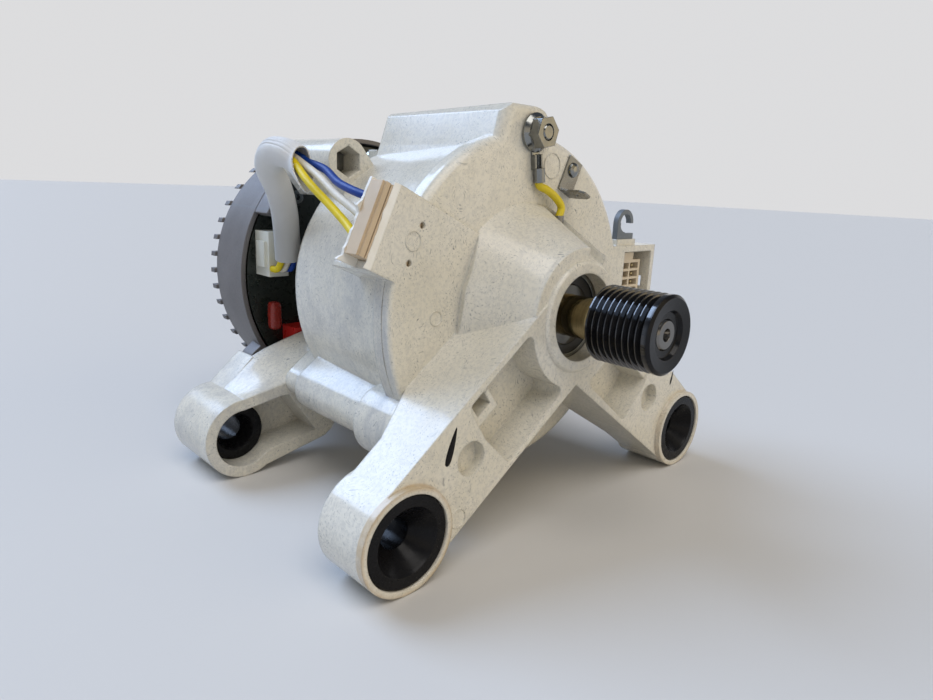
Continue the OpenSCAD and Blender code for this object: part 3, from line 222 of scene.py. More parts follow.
def moulding_finish(colours):
    """Gloss off-white moulding with short grey fibres, faint clouding, handling marks and a brown line round
    each front eye."""
    f = Finish("moulding", Specular_IOR_Level=0.5)
    place = f.place()
    cloud = f.noise(place, 30.0, 4.0, 0.6)
    base = f.mix(f.step(cloud, 0.35, 0.7), colours.moulding, colours.moulding_shade)
    mottle = f.step(f.noise(place, 760.0, 3.0, 0.7), 0.4, 0.66, 0.0, 0.42)
    base = f.mix(mottle, base, colours.mottle)
    swirl = f.swirled(place, 130.0, 0.012)
    fibres = None
    for turn, scale, shift in FIBRE_LAYERS:
        cells = {"Vector": f.mapped(swirl, turn, (1.0, 1.0, 0.38), (shift, shift, shift)), "Scale": scale}
        distance = f.node("ShaderNodeTexVoronoi", None, cells, "Distance")
        tint = f.node("ShaderNodeTexVoronoi", None, cells, "Color")
        chosen = f.node("ShaderNodeSeparateColor", None, [tint], "Red") > 0.5
        streak = f.step(distance, 0.12, 0.27, 1.0, 0.0) * chosen
        fibres = streak if fibres is None else fibres + streak
    spread = f.step(f.noise(place, 70.0, 3.0), 0.36, 0.62, 0.28, 0.66)
    base = f.mix(f.node("ShaderNodeClamp", None, [fibres * spread]), base, colours.fibre)
    base = f.mix(handling_marks(f, place), base, colours.grime)
    face = LEG_FACE_Y * MM
    near_face = f.step(f.axis("Y"), face + 0.0004, face + 0.001, 1.0, 0.0)
    near_face = near_face * f.step(f.noise(place, 120.0), 0.3, 0.6, 0.45, 1.0)
    for x, share in ((-EYE_X, 0.62), (EYE_X, 0.3)):
        line = near_axis(f, x, EYE_Z, 0.0173, 0.0181) - near_axis(f, x, EYE_Z, 0.0156, 0.0171) * 0.8
        base = f.mix(line * near_face * share, base, colours.stain)
    f.feed("Base Color", base)
    f.feed("Roughness", f.step(f.noise(place, 140.0, 4.0, 0.65), 0.3, 0.75, 0.13, 0.26))
    f.bump(f.noise(place, 700.0, 3.0), 0.04, 0.0004, f.rounded(0.0009))
    return f.material


def handling_marks(f, place):
    """Mask of grey rubbed marks: faint everywhere, stronger on the drum's left side and on its band."""
    smear = f.noise(f.mapped(place, (0.2, 0.0, 0.0), (1.0, 2.2, 0.7)), 80.0, 6.0, 0.72)
    faint = f.step(smear, 0.55, 0.8, 0.0, 0.32)
    x, y, z = f.axis("X"), f.axis("Y"), f.axis("Z")
    band = f.step(x, -0.052, -0.058, 0.0, 1.0) * f.step(y, -0.026, -0.032) * f.step(y, -0.0402, -0.0392)
    band = band * f.step(z, 0.1, 0.09, 0.0, 1.0)
    side = f.step(x, -0.044, -0.06, 0.0, 1.0) * f.step(y, -0.038, -0.03) * f.step(z, 0.115, 0.09, 0.0, 1.0)
    smudge = f.noise(f.mapped(place, (0.3, 0.2, 0.0), (1.0, 1.0, 0.55)), 95.0, 5.0, 0.7)
    rubbed = band * f.step(smear, 0.36, 0.66, 0.12, 0.6)
    smudged = side * f.step(smudge, 0.4, 0.68, 0.0, 0.42)
    return f.node("ShaderNodeClamp", None, [faint + rubbed + smudged])


def cast_finish(colours):
    """Matt cast aluminium with a fine blasted grain and a faint line where the mould parts."""
    f = Finish("cast_cover", Metallic=0.6)
    place = f.place()
    cloud = f.noise(place, 35.0, 5.0, 0.6)
    base = f.mix(f.step(cloud, 0.3, 0.75), colours.aluminium, colours.aluminium_shade)
    off = f.axis("Z") - PARTING_Z
    line = f.step((off * off) ** 0.5, 0.0002, 0.0006, 0.35, 0.0)
    base = f.mix(line, base, colours.fibre)
    grain = f.noise(place, 1500.0, 3.0, 0.6)
    f.feed("Base Color", f.mix(f.step(grain, 0.55, 0.75, 0.0, 0.3), base, colours.fibre))
    f.feed("Roughness", f.step(grain, 0.2, 0.8, 0.46, 0.62))
    f.bump(grain, 0.16, 0.0004, f.rounded(0.0008))
    return f.material


def plain_finish(name, colour, shade, roughness, metallic=0.0, grain=400.0, depth=0.05, edge=0.0003,
                 **constants):
    """A finish of two close tones with a fine grain: plastics, rubbers and plated metals."""
    f = Finish(name, Metallic=metallic, **constants)
    place = f.place()
    cloud = f.noise(place, grain * 0.12, 4.0, 0.6)
    f.feed("Base Color", f.mix(f.step(cloud, 0.32, 0.7), colour, shade))
    fine = f.noise(place, grain, 3.0, 0.6)
    f.feed("Roughness", f.step(fine, 0.25, 0.75, roughness[0], roughness[1]))
    f.bump(fine, depth, 0.0003, f.rounded(edge))
    return f.material


def pulley_finish():
    """Black pulley: a dull front face, and ribs polished by the belt under a clear coat."""
    f = Finish("pulley_black", Specular_IOR_Level=0.2, Coat_Roughness=0.07, Coat_IOR=1.6)
    place = f.place()
    cloud = f.noise(place, 72.0, 4.0, 0.6)
    f.feed("Base Color", f.mix(f.step(cloud, 0.32, 0.7), (0.006, 0.006, 0.007), (0.010, 0.010, 0.011)))
    fine = f.noise(place, 600.0, 3.0, 0.6)
    f.feed("Roughness", f.step(fine, 0.25, 0.75, 0.14, 0.26))
    behind_face = f.step(f.axis("Y"), -0.1024, -0.1010)
    dish = near_axis(f, 0.0, SHAFT_H * MM, 0.0104, 0.0112)
    f.feed("Coat Weight", behind_face * (1.0 - dish))
    f.bump(fine, 0.03, 0.0003, f.rounded(0.0003))
    return f.material


def turned_finish(name, colour, shade, roughness, rings, tip=None):
    """Turned metal: fine tool rings along the shaft on a bright ground; tip colours the front end."""
    f = Finish(name, Metallic=1.0)
    place = f.place()
    lines = f.noise(f.mapped(place, (0, 0, 0), (1.0, rings, 1.0)), 90.0, 3.0, 0.6)
    tone = f.mix(f.step(lines, 0.3, 0.7), colour, shade)
    if tip is not None:
        tone = f.mix(f.step(f.axis("Y"), -0.086, -0.08, 1.0, 0.0), tone, tip)
    f.feed("Base Color", tone)
    f.feed("Roughness", f.step(lines, 0.25, 0.75, roughness[0], roughness[1]))
    f.bump(lines, 0.05, 0.0002, f.rounded(0.0002))
    return f.material


def weave_finish(colours):
    """Varnished woven sleeve: a fine diagonal braid on the piece's own UV map, with painted shade darkening
    its lower end.
    """
    f = Finish("sleeve_white", Roughness=0.5, Specular_IOR_Level=0.35)
    uv = f.node("ShaderNodeUVMap", {"uv_map": "UVMap"})
    along = f.node("ShaderNodeSeparateXYZ", None, [uv], "X") * BRAID_ALONG
    across = f.node("ShaderNodeSeparateXYZ", None, [uv], "Y") * BRAID_ROUND
    threads = (f.node("ShaderNodeMath", {"operation": "SINE"}, [along + across])
               + f.node("ShaderNodeMath", {"operation": "SINE"}, [along - across]))
    relief = f.step(threads, -1.6, 1.6)
    tone = f.step(f.noise(f.place(), 90.0, 3.0), 0.3, 0.75) * 0.3 + relief * 0.3 + 0.3
    # Painted shade: the sleeve's colour is darkened towards its lower end, where shadow falls
    painted_shade = f.step(f.axis("Z"), 0.092, 0.124, 0.55, 0.0)
    f.feed("Base Color", f.mix(painted_shade, f.mix(tone, colours.sleeve_shade, colours.sleeve), colours.sleeve_painted_shade))
    f.bump(relief, 0.25, 0.00015)
    return f.material


def smooth_route(points, steps):
    """Points of a Catmull-Rom curve through a route, with even steps between its points."""
    p = np.asarray(points, float)
    padded = np.vstack([p[:1], p, p[-1:]])
    a, b, c, d = (padded[i:len(p) - 1 + i, None] for i in range(4))
    t = (np.arange(steps) / steps)[None, :, None]
    curve = 0.5 * (2 * b + (c - a) * t + (2 * a - 5 * b + 4 * c - d) * t ** 2
                   + (3 * b - a - 3 * c + d) * t ** 3)
    return np.vstack([curve.reshape(-1, 3), p[-1:]])


def to_frame(points):
    """Route points, as place to the side, station and height above the shaft, in the frame in metres."""
    return (np.asarray(points, float) + (0.0, LUG_Y, SHAFT_H)) * MM


def unit(vectors):
    """Vectors of length 1."""
    return vectors / np.linalg.norm(vectors, axis=-1, keepdims=True)


def route_frame(path, side=(1.0, 0.0, 0.0)):
    """Heading, sideways and upward directions along a path; sideways is the side square to the heading."""
    heading = unit(np.gradient(path, axis=-2))
    across = unit(np.asarray(side) - heading * (heading @ np.asarray(side))[..., None])
    return heading, across, np.cross(heading, across)


def grid_mesh(name, grids, loop=False, caps=False):
    """Surfaces through grids of points, each closed round its columns. loop also closes them along their
    rows, and caps closes their two ends with a face. The UV map is the share along the rows and columns."""
    grids = grids.reshape(-1, *grids.shape[-3:])
    count, rows, columns = grids.shape[:3]
    i, j = np.meshgrid(np.arange(rows if loop else rows - 1), np.arange(columns), indexing="ij")
    corners = np.stack([np.stack([i + a, j + b], -1) for a, b in ((0, 0), (0, 1), (1, 1), (1, 0))], 2)
    corners = corners.reshape(-1, 4, 2)
    faces = (corners[..., 0] % rows) * columns + corners[..., 1] % columns
    first = (np.arange(count) * rows * columns)[:, None, None]
    polygons = (first + faces).reshape(-1, 4).tolist()
    uv = np.tile((corners / (rows, columns)).reshape(-1, 2), (count, 1))
    if caps:
        ring = np.arange(columns)
        ends = first + np.stack([ring[::-1], (rows - 1) * columns + ring])
        polygons += ends.reshape(-1, columns).tolist()
        uv = np.vstack([uv, np.zeros((2 * count * columns, 2))])
    mesh = bpy.data.meshes.new(name)
    mesh.from_pydata(grids.reshape(-1, 3).tolist(), [], polygons)
    layer = mesh.uv_layers.new(name="UVMap")
    layer.data.foreach_set("uv", uv.astype(np.float32).ravel())
    mesh.shade_smooth()
    mesh.set_sharp_from_angle(angle=np.radians(40))
    return mesh


def new_piece(name, mesh, material):
    """Link a mesh as a piece that rides on the standing body and takes its finish from a slot."""
    piece = bpy.data.objects.new(name, mesh)
    bpy.context.scene.collection.objects.link(piece)
    mesh.materials.append(material)
    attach(piece, BODY)
    return piece


def tube_grid(path, radius, sides, side=(1.0, 0.0, 0.0)):
    """Rings of a round tube along a path: point + radius (cos a across + sin a up)."""
    _, across, up = route_frame(path, side)
    a = np.linspace(0, 2 * np.pi, sides, endpoint=False)[:, None]
    ring = np.cos(a) * across[..., None, :] + np.sin(a) * up[..., None, :]
    return path[..., None, :] + np.asarray(radius)[..., None, None] * ring


def darker(tone, share):
    """A colour times a share."""
    return tuple(share * c for c in tone)


def paint(material, *names):
    """Give CAD nodes a finish."""
    for name in names:
        NODES[name].data.materials.clear()
        NODES[name].data.materials.append(material)


def colour(name, default, words):
    """A colour setting."""
    return bpy.props.FloatVectorProperty(name=name, description=words, subtype="COLOR", size=3,
                                         min=0.0, max=1.0, default=default)


def length(name, default, words):
    """A length setting in metres."""
    return bpy.props.FloatProperty(name=name, description=words, subtype="DISTANCE", unit="LENGTH",
                                   default=default, precision=5)


def strength(name, default, words):
    """A light level setting."""
    return bpy.props.FloatProperty(name=name, description=words, min=0.0, default=default)


class MotorColours(bpy.types.PropertyGroup):
    """Colours of the motor's finishes."""
    moulding: colour("Moulding", (0.71, 0.68, 0.595), "Off-white of the moulded housing")
    moulding_shade: colour("Moulding shade", (0.665, 0.63, 0.53), "Darker tone of the moulded housing")
    mottle: colour("Mottle", (0.46, 0.455, 0.425), "Soft grey mottling of the moulding")
    raw: colour("Raw edge", (0.84, 0.83, 0.79), "Paler raw edges of the plug's slot")
    fibre: colour("Fibre", (0.17, 0.18, 0.185), "Short grey fibres in the moulding")
    grime: colour("Grime", (0.36, 0.36, 0.36), "Handling marks on the moulding")
    stain: colour("Stain", (0.45, 0.30, 0.13), "Brownish line round the front eyes")
    aluminium: colour("Aluminium", (0.19, 0.178, 0.174), "Cast rear cover")
    aluminium_shade: colour("Aluminium shade", (0.15, 0.14, 0.137), "Darker tone of the rear cover")
    sleeve: colour("Sleeve", (0.72, 0.72, 0.71), "Woven sleeve of the lead")
    sleeve_shade: colour("Sleeve shade", (0.54, 0.54, 0.53), "Gaps in the sleeve's weave")
    # Painted shade: darker colour for the sleeve's lower end, standing for the shadow there
    sleeve_painted_shade: colour("Sleeve painted shade", (0.20, 0.20, 0.185), "Greyer lower end of the sleeve")
    blue: colour("Blue wire", (0.003, 0.040, 0.26), "Blue wire of the lead")
    white: colour("White wire", (0.70, 0.66, 0.56), "White wire of the lead")
    yellow: colour("Yellow wire", (0.72, 0.56, 0.01), "Yellow wire of the lead and earth wire")
    plug: colour("Plug", (0.58, 0.45, 0.30), "Tan plug of the lead")
    zinc: colour("Zinc", (0.27, 0.275, 0.265), "Plated earth pieces and screws")
    tab: colour("Tab", (0.20, 0.185, 0.16), "Darker plating of the earth tab")


class MotorSizes(bpy.types.PropertyGroup):
    """Sizes of the pieces that are made here."""
    wire_radius: length("Wire radius", 0.0014, "Outer radius of a lead wire")
    earth_radius: length("Earth wire radius", 0.0015, "Outer radius of the earth wire")
    sleeve_radius: length("Sleeve radius", 0.0053, "Outer radius of the sleeve")
    sleeve_wall: length("Sleeve wall", 0.0005, "Wall of the sleeve")
    strand_radius: length("Strand radius", 0.00009, "Radius of a loose strand at the sleeve's mouth")
    mark_height: length("Mark height", 0.00036, "Height of the ejector marks on the moulding")
    seam_radius: length("Seam radius", 0.00014, "Radius of the parting seam on the drum's flange")


class MotorStage(bpy.types.PropertyGroup):
    """Floor and light of the scene."""
    floor: colour("Floor", (0.60, 0.585, 0.56), "Plain pale floor")
    backdrop: colour("Backdrop", (0.72, 0.72, 0.73), "Pale surround round the horizon")
    cool: colour("Cool side", (0.48, 0.54, 0.65), "Cooler surround on the left")
    warm: colour("Warm side", (0.80, 0.72, 0.61), "Warmer surround in front")
    surround: colour("Surround", (0.13, 0.145, 0.17), "Dimmer surround overhead")
    key: strength("Key light", 2.6, "Cool light from behind on the left")
    side: strength("Side light", 0.08, "Cool light from above on the left")
    front: strength("Front light", 1.45, "Warm light from above in front")
    low: strength("Low light", 0.5, "Warm light from low in front")


class MOTOR_OT_stage(bpy.types.Operator):
    """Set up the floor, the lights and the camera of the photograph"""
    bl_idname = "motor.stage"
    bl_label = "Stage"

    def execute(self, context):
        settings = context.scene.motor_stage
        scene = context.scene
        scene.view_settings.view_transform = "Standard"
        self.add_camera(scene)
        self.add_floor(settings)
        self.add_world(scene, settings)
        self.add_sun("key_light", (-0.26, 0.66, 0.70), 38, settings.key, (0.52, 0.69, 1.0))
        self.add_sun("side_light", (-0.72, -0.2, 0.66), 50, settings.side, (0.66, 0.82, 1.0))
        self.add_sun("front_light", (-0.18, -0.40, 0.90), 45, settings.front, (1.0, 0.96, 0.92))
        self.add_sun("low_light", (0.4, -0.88, 0.25), 60, settings.low, (1.0, 0.74, 0.30))
        return {"FINISHED"}

    def add_camera(self, scene):
        """Camera at the photograph's place; the rows of its turn are right, up and backward."""
        camera = bpy.data.objects.new("camera", bpy.data.cameras.new("camera"))
        camera.data.sensor_width = SENSOR_WIDTH
        camera.data.lens = FOCAL_PIXELS * SENSOR_WIDTH / PHOTO_WIDTH
        camera.data.clip_start, camera.data.clip_end = 0.01, 50.0
        axes = np.array([CAMERA_RIGHT, CAMERA_DOWN, CAMERA_FORWARD])
        axes[1:] *= -1
        matrix = np.eye(4)
        matrix[:3, :3] = axes.T
        matrix[:3, 3] = CAMERA_PLACE
        camera.matrix_world = Matrix(matrix.tolist())
        scene.collection.objects.link(camera)
        scene.camera = camera

    def add_floor(self, settings):
        """A flat grid of floor, 12 m across, just under the lugs."""
        half, count = 6.0, 5
        x, y = np.meshgrid(np.linspace(-half, half, count), np.linspace(-half, half, count), indexing="ij")
        points = np.stack([x, y, np.full_like(x, -0.0001)], -1).reshape(-1, 3)
        i, j = np.meshgrid(np.arange(count - 1), np.arange(count - 1), indexing="ij")
        corner = i * count + j
        faces = np.stack([corner, corner + count, corner + count + 1, corner + 1], -1).reshape(-1, 4)
        mesh = bpy.data.meshes.new("floor")
        mesh.from_pydata(points.tolist(), [], faces.tolist())
        f = Finish("floor", Roughness=0.6, Specular_IOR_Level=0.2)
        f.feed("Base Color", settings.floor)
        mesh.materials.append(f.material)
        floor = bpy.data.objects.new("floor", mesh)
        bpy.context.scene.collection.objects.link(floor)

    def add_world(self, scene, settings):
        """Surround: pale round the horizon, cooler on the left, warmer in front and dimmer overhead."""
        world = bpy.data.worlds.new("world")
        world.use_nodes = True
        tree = world.node_tree
        way = tree.nodes.new("ShaderNodeTexCoord")
        parts = tree.nodes.new("ShaderNodeSeparateXYZ")
        tree.links.new(way.outputs["Generated"], parts.inputs[0])
        base = tree.nodes.new("ShaderNodeRGB")
        base.outputs[0].default_value = (*settings.backdrop, 1.0)
        tint = base.outputs[0]
        sides = (("X", -0.1, -0.6, settings.cool), ("Y", -0.2, -0.7, settings.warm),
                 ("Z", 0.24, 0.5, settings.surround))
        for axis, low, high, shade in sides:
            spread = tree.nodes.new("ShaderNodeMapRange")
            spread.interpolation_type = "SMOOTHSTEP"
            spread.inputs["From Min"].default_value = low
            spread.inputs["From Max"].default_value = high
            tree.links.new(parts.outputs[axis], spread.inputs["Value"])
            mix = tree.nodes.new("ShaderNodeMix")
            mix.data_type = "RGBA"
            tree.links.new(spread.outputs["Result"], mix.inputs[0])
            tree.links.new(tint, mix.inputs[6])
            mix.inputs[7].default_value = (*shade, 1.0)
            tint = mix.outputs[2]
        tree.links.new(tint, tree.nodes["Background"].inputs["Color"])
        scene.world = world

    def add_sun(self, name, source, spread, level, tint):
        """Soft light from a direction, with an angle across in degrees."""
        lamp = bpy.data.lights.new(name, "SUN")
        lamp.angle = np.radians(spread)
        lamp.energy = level
        lamp.color = tint
        made = bpy.data.objects.new(name, lamp)
        backward = unit(np.array(source))
        right = unit(np.cross((0.0, 0.0, 1.0), backward))
        matrix = np.eye(4)
        matrix[:3, :3] = np.stack([right, np.cross(backward, right), backward], 1)
        matrix[:3, 3] = backward
        made.matrix_world = Matrix(matrix.tolist())
        bpy.context.scene.collection.objects.link(made)


class MOTOR_OT_lead(bpy.types.Operator):
    """Lay the three wires of the lead and draw the woven sleeve over them"""
    bl_idname = "motor.lead"
    bl_label = "Lead"

    def execute(self, context):
        colours, sizes = context.scene.motor_colours, context.scene.motor_sizes
        sleeve, strands = self.add_sleeve(colours, sizes)
        for name, order in WIRE_ORDER.items():
            piece = "wire_" + name
            tone = getattr(colours, name)
            material = plain_finish(piece, tone, darker(tone, 0.82), (0.34, 0.48), grain=700.0,
                                    Specular_IOR_Level=0.25)
            path = self.wire_path(name, order)
            grid = tube_grid(path, np.full(len(path), sizes.wire_radius), 20)
            wire = new_piece(piece, grid_mesh(piece, grid, caps=True), material)
            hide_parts("lead_wire_" + name)
        return {"FINISHED"}

    def wire_path(self, name, order):
        """Straight out of the plug's back, along the free route, beside the others in the sleeve, to the
        board."""
        v = WIRE_MID + order * WIRE_PITCH
        side = -PLUG_HOLE * np.cos(PLUG_ANGLE) + v * np.sin(PLUG_ANGLE)
        rise = PLUG_HOLE * np.sin(PLUG_ANGLE) + v * np.cos(PLUG_ANGLE)
        start = [[side, PLUG_BACK - 1.0, rise], [side, PLUG_BACK + 1.6, rise]]
        middle = smooth_route(SLEEVE_ROUTE, 2)
        inside = (middle + order * WIRE_SPREAD * route_frame(middle)[1])[::-1]
        end = np.array(CONNECTOR_END) + (order * WIRE_SPREAD, 0, 0)
        tail = end + np.array([[0, -5.2, 0.9], [0, -2.6, 0], [0, 0, 0]])
        return to_frame(smooth_route(np.vstack([start, FREE_ROUTES[name], inside, tail]), 5))

    def add_sleeve(self, colours, sizes):
        """Tube whose end is cut obliquely: each column of its grid ends at its own place along the route,
        from a short upper edge to a long lower lip. Its wall is an outer and an inner skin joined at both
        ends, creased along the outside of the bend. Loose strands curl out of the lip's edge."""
        steps, rows, columns = 24, 150, 240
        fold_angles, fold_width = (66, 80, 93, 107, 120, 134, 150), np.radians(3.2)
        lip_angle = np.radians(62)
        route = smooth_route(to_frame(SLEEVE_ROUTE + LIP_ROUTE), steps)
        _, across, up = route_frame(route)
        along = np.concatenate([[0], np.cumsum(np.linalg.norm(np.diff(route, axis=0), axis=1))])
        mouth = along[steps * (len(SLEEVE_ROUTE) - 1)]
        a = np.linspace(0, 2 * np.pi, columns, endpoint=False)
        low = 0.5 - 0.5 * np.cos(a - lip_angle)
        random = np.random.default_rng(5)
        ragged = random.normal(0, 0.00030, columns) * (0.3 + low)
        end = mouth - 0.0022 + (along[-1] - mouth + 0.0018) * low ** 2.0 + ragged
        s = np.linspace(0, 1, rows)[:, None] * end[None, :]

        def at(values):
            return np.stack([np.interp(s, along, values[:, k]) for k in range(3)], -1)

        bend = np.exp(-((s - 0.74 * mouth) / (0.2 * mouth)) ** 2)
        turn = [(a - np.radians(c) + np.pi) % (2 * np.pi) - np.pi for c in fold_angles]
        folds = sum(np.exp(-(t / fold_width) ** 2) for t in turn)
        radius = sizes.sleeve_radius * (1 + 0.008 * np.sin(7 * a)[None, :] * bend) - 0.0004 * folds * bend
        shape = np.cos(a)[None, :, None] * at(across) + np.sin(a)[None, :, None] * at(up)
        middle = at(route)
        outer = middle + radius[..., None] * shape
        inner = middle + (radius - sizes.sleeve_wall)[..., None] * shape
        material = weave_finish(colours)
        mesh = grid_mesh("woven_sleeve", np.concatenate([outer, inner[::-1]]), loop=True)
        sleeve = new_piece("woven_sleeve", mesh, material)
        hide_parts("lead_sleeve")
        return sleeve, self.add_strands(outer, middle, material, sizes)

    def add_strands(self, outer, middle, material, sizes):
        """Curled strands: from near the lip's edge, on along the wall and away from it with t squared."""
        count, points = 26, 7
        random = np.random.default_rng(11)
        column = random.integers(104, 224, count)
        root, edge = outer[-6, column], outer[-1, column]
        way, away = unit(edge - root), unit(edge - middle[-1, column])
        aside = np.cross(way, away) * random.normal(0, 0.5, count)[:, None]
        t = np.linspace(0, 1, points)[None, :, None]
        reach = random.uniform(0.0009, 0.0024, count)[:, None, None]
        curl = random.normal(0.0, 0.35, count)[:, None, None]
        paths = root[:, None] - 0.0002 * away[:, None] + way[:, None] * (t * (reach + 0.0008))
        paths = paths + reach * t ** 2 * (curl * away[:, None] + aside[:, None])
        grids = tube_grid(paths, np.full((count, points), sizes.strand_radius), 5, (0.3, 0.2, 0.93))
        mesh = grid_mesh("sleeve_strands", grids, caps=True)
        return new_piece("sleeve_strands", mesh, material)


class MOTOR_OT_earth(bpy.types.Operator):
    """Lay the short yellow earth wire and finish the plated earth pieces"""
    bl_idname = "motor.earth"
    bl_label = "Earth connection"

    def execute(self, context):
        colours, sizes = context.scene.motor_colours, context.scene.motor_sizes
        material = plain_finish("earth_yellow", colours.yellow, darker(colours.yellow, 0.85), (0.3, 0.42),
                                grain=700.0)
        path = smooth_route(to_frame(EARTH_ROUTE), 8)
        grid = tube_grid(path, np.full(len(path), sizes.earth_radius), 20, (0, 1, 0))
        wire = new_piece("earth_lead", grid_mesh("earth_lead", grid, caps=True), material)
        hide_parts("earth_wire")
        zinc = plain_finish("zinc", colours.zinc, darker(colours.zinc, 0.78), (0.1, 0.24), 1.0, 500.0, 0.03)
        tab = plain_finish("tab_plating", colours.tab, colours.zinc, (0.2, 0.34), 1.0, 300.0, 0.05, 0.0002)
        paint(tab, "earth_tab", "earth_crimp")
        paint(zinc, "earth_stud", "earth_nut", "earth_ring_terminal", "earth_rivet", "wave_washer",
              "tie_screws", "bracket_screws", "cover_screws", "cover_nuts", "board_screws")
        return {"FINISHED"}


class MOTOR_OT_housing(bpy.types.Operator):
    """Finish the mouldings and add their ejector marks, parting seam, ink strokes, arm tops and raw lips"""
    bl_idname = "motor.housing"
    bl_label = "Housing"

    # Ejector marks: centre across and up, station, radius, millimetres
    marks = np.array([[-55.8, 102.5, 29.0, 3.1], [-45.2, 76.3, 29.0, 2.5], [11.6, 128.7, 30.0, 4.6],
                      [-57.1, 17.3, 2.0, 3.2]])
    # Tops of the rear arms, in front and behind: across, station and up, millimetres
    arm_front = [[-77.6, 107.0, 32.8], [-59.3, 107.0, 36.4], [-52, 107.0, 40.8], [-44.4, 107.0, 46.2],
                 [-36, 107.0, 55]]
    arm_back = [[-77.6, 126.5, 32.8], [-63.6, 126.5, 45.2], [-58, 126.5, 47.6], [-48, 126.5, 50.7],
                [-37.4, 126.5, 53.6]]
    # Sections of the raw lips: reach from the shaft, zero at the ragged edge, and station, millimetres
    lip_back = np.array([[71.0, 72.5, 74.0, 76.0, 0, 0, 0, 0, 76.0, 74.0, 72.5, 71.0],
                         [37.02, 37.02, 37.02, 37.02, 37.02, 37.25, 38.0, 38.3, 38.3, 38.3, 38.3, 38.3]])
    lip_front = np.array([[73.0, 73.3, 73.6, 74.0, 0, 0, 0, 0, 74.6, 74.0, 73.5, 73.0],
                          [29.0, 28.98, 29.1, 29.25, 29.7, 29.8, 29.9, 29.95, 29.95, 29.95, 29.95, 29.95]])
    # Parting seam of the drum's flange: radius about the shaft and station, millimetres
    seam_circle, seam_station = 64.8, 33.2
    # Ink strokes on the leg faces: from and to, across and up, and the widest half width, millimetres
    strokes = (((-59.0, 48.6), (-62.6, 36.6), 1.75), ((70.3, 45.4), (68.8, 39.2), 0.9))

    def execute(self, context):
        colours, sizes = context.scene.motor_colours, context.scene.motor_sizes
        moulding = moulding_finish(colours)
        paint(moulding, "motor_housing", "rear_bracket")
        self.add_marks(moulding, sizes)
        self.add_seam(moulding, sizes)
        self.add_strokes()
        self.add_arm_tops(moulding)
        self.add_plug_lips(plain_finish("raw_edge", colours.raw, colours.moulding, (0.4, 0.55), grain=500.0))
        return {"FINISHED"}

    def add_arm_tops(self, moulding):
        """Smooth skins on the twisted tops of the rear arms: a ruled surface (1 - t) front + t back, raised
        in its middle by 0.45 mm, with its underside 0.8 mm lower, and its mirror image."""
        corners = np.arange(len(self.arm_front))
        places = np.linspace(0, corners[-1], 41)
        front, back = (np.stack([np.interp(places, corners, axis) for axis in np.array(edge).T], -1)
                       for edge in (self.arm_front, self.arm_back))
        t = np.linspace(0.015, 0.985, 24)[:, None, None]
        top = (1 - t) * front + t * back
        u = np.linspace(0, 1, len(front))[None, :]
        fade = np.minimum(1, 5 * np.minimum(np.minimum(u, 1 - u), np.minimum(t[..., 0], 1 - t[..., 0])))
        rise = (0.02 + 0.43 * fade)[..., None] * np.array([-0.42, 0.0, 0.91])
        loop = np.concatenate([top + rise, (top - (0, 0, 0.8))[:, ::-1]], 1)
        pair = np.stack([loop, (loop * (-1, 1, 1))[:, ::-1]]) + (0, LUG_Y, 0)
        new_piece("arm_tops", grid_mesh("arm_tops", pair * MM, caps=True), moulding)

    def add_plug_lips(self, raw):
        """Raw lips of the plug's slot: strips along the slot with a ragged outer edge, the back one a plate
        beside the plug and the front one a slope."""
        random = np.random.default_rng(3)
        low, high, rows, bumps = -13.4, 14.6, 70, 15
        v = np.linspace(low, high, rows)
        wavy = np.interp(v, np.linspace(low, high, bumps), random.normal(0, 0.38, bumps))
        rough = wavy + random.normal(0, 0.03, rows)
        reach = 79.0 + rough + np.exp(-((v + 12.4) / 2.0) ** 2)
        back = self.lip(self.lip_back, reach, v)
        front = self.lip(self.lip_front, 75.3 + 0.25 * rough, v)
        mesh = grid_mesh("plug_lips", np.stack([back, front])[:, ::-1] * MM, caps=True)
        new_piece("plug_lips", mesh, raw)

    def lip(self, section, reach, v):
        """One strip: a section drawn along v, whose zeros take the ragged edge's reach."""
        along, stations = section
        u = np.where(along[None, :] == 0, reach[:, None], along[None, :])
        side, rise = np.cos(PLUG_ANGLE), np.sin(PLUG_ANGLE)
        x = -u * side + v[:, None] * rise
        z = u * rise + v[:, None] * side
        y = np.broadcast_to(stations, u.shape)
        return np.stack([x, y + LUG_Y, z + SHAFT_H], -1)

    def add_marks(self, moulding, sizes):
        """Low rounded rings: radius + width w, height (1 - w^2), turned round each centre, with an underside
        in the wall."""
        count, width, foot, sunk = 7, 0.26, 0.03, 0.3
        w = np.append(np.linspace(-1, 1, count), [1, -1])[:, None]
        under = np.append(np.zeros(count), [sunk, sunk])[:, None]
        a = np.linspace(0, 2 * np.pi, 64, endpoint=False)
        x, z, station, r = (column[:, None, None] for column in self.marks.T)
        radius = r + width * w
        height = (sizes.mark_height / MM + foot) * (1 - w ** 2) - under
        rise = np.broadcast_to(height, (len(self.marks), len(w), len(a)))
        y = LUG_Y + station + foot - rise
        grids = np.stack([x + radius * np.cos(a), y, z + radius * np.sin(a)], -1)
        mesh = grid_mesh("ejector_marks", grids[:, ::-1] * MM, loop=True)
        new_piece("ejector_marks", mesh, moulding)

    def add_seam(self, moulding, sizes):
        """Fine raised seam round the flange's left side: a tube on a circle about the shaft."""
        count = 90
        a = np.radians(np.linspace(162, 204, count))
        radius = self.seam_circle + 0.05 * np.sin(23 * a)
        y = np.full_like(a, LUG_Y + self.seam_station)
        path = np.stack([radius * np.cos(a), y, SHAFT_H + radius * np.sin(a)], -1) * MM
        thick = sizes.seam_radius * np.sin(np.linspace(0.05, np.pi - 0.05, count)) ** 0.3
        grid = tube_grid(path, thick, 8, (0, 1, 0))
        new_piece("flange_seam", grid_mesh("flange_seam", grid, caps=True), moulding)

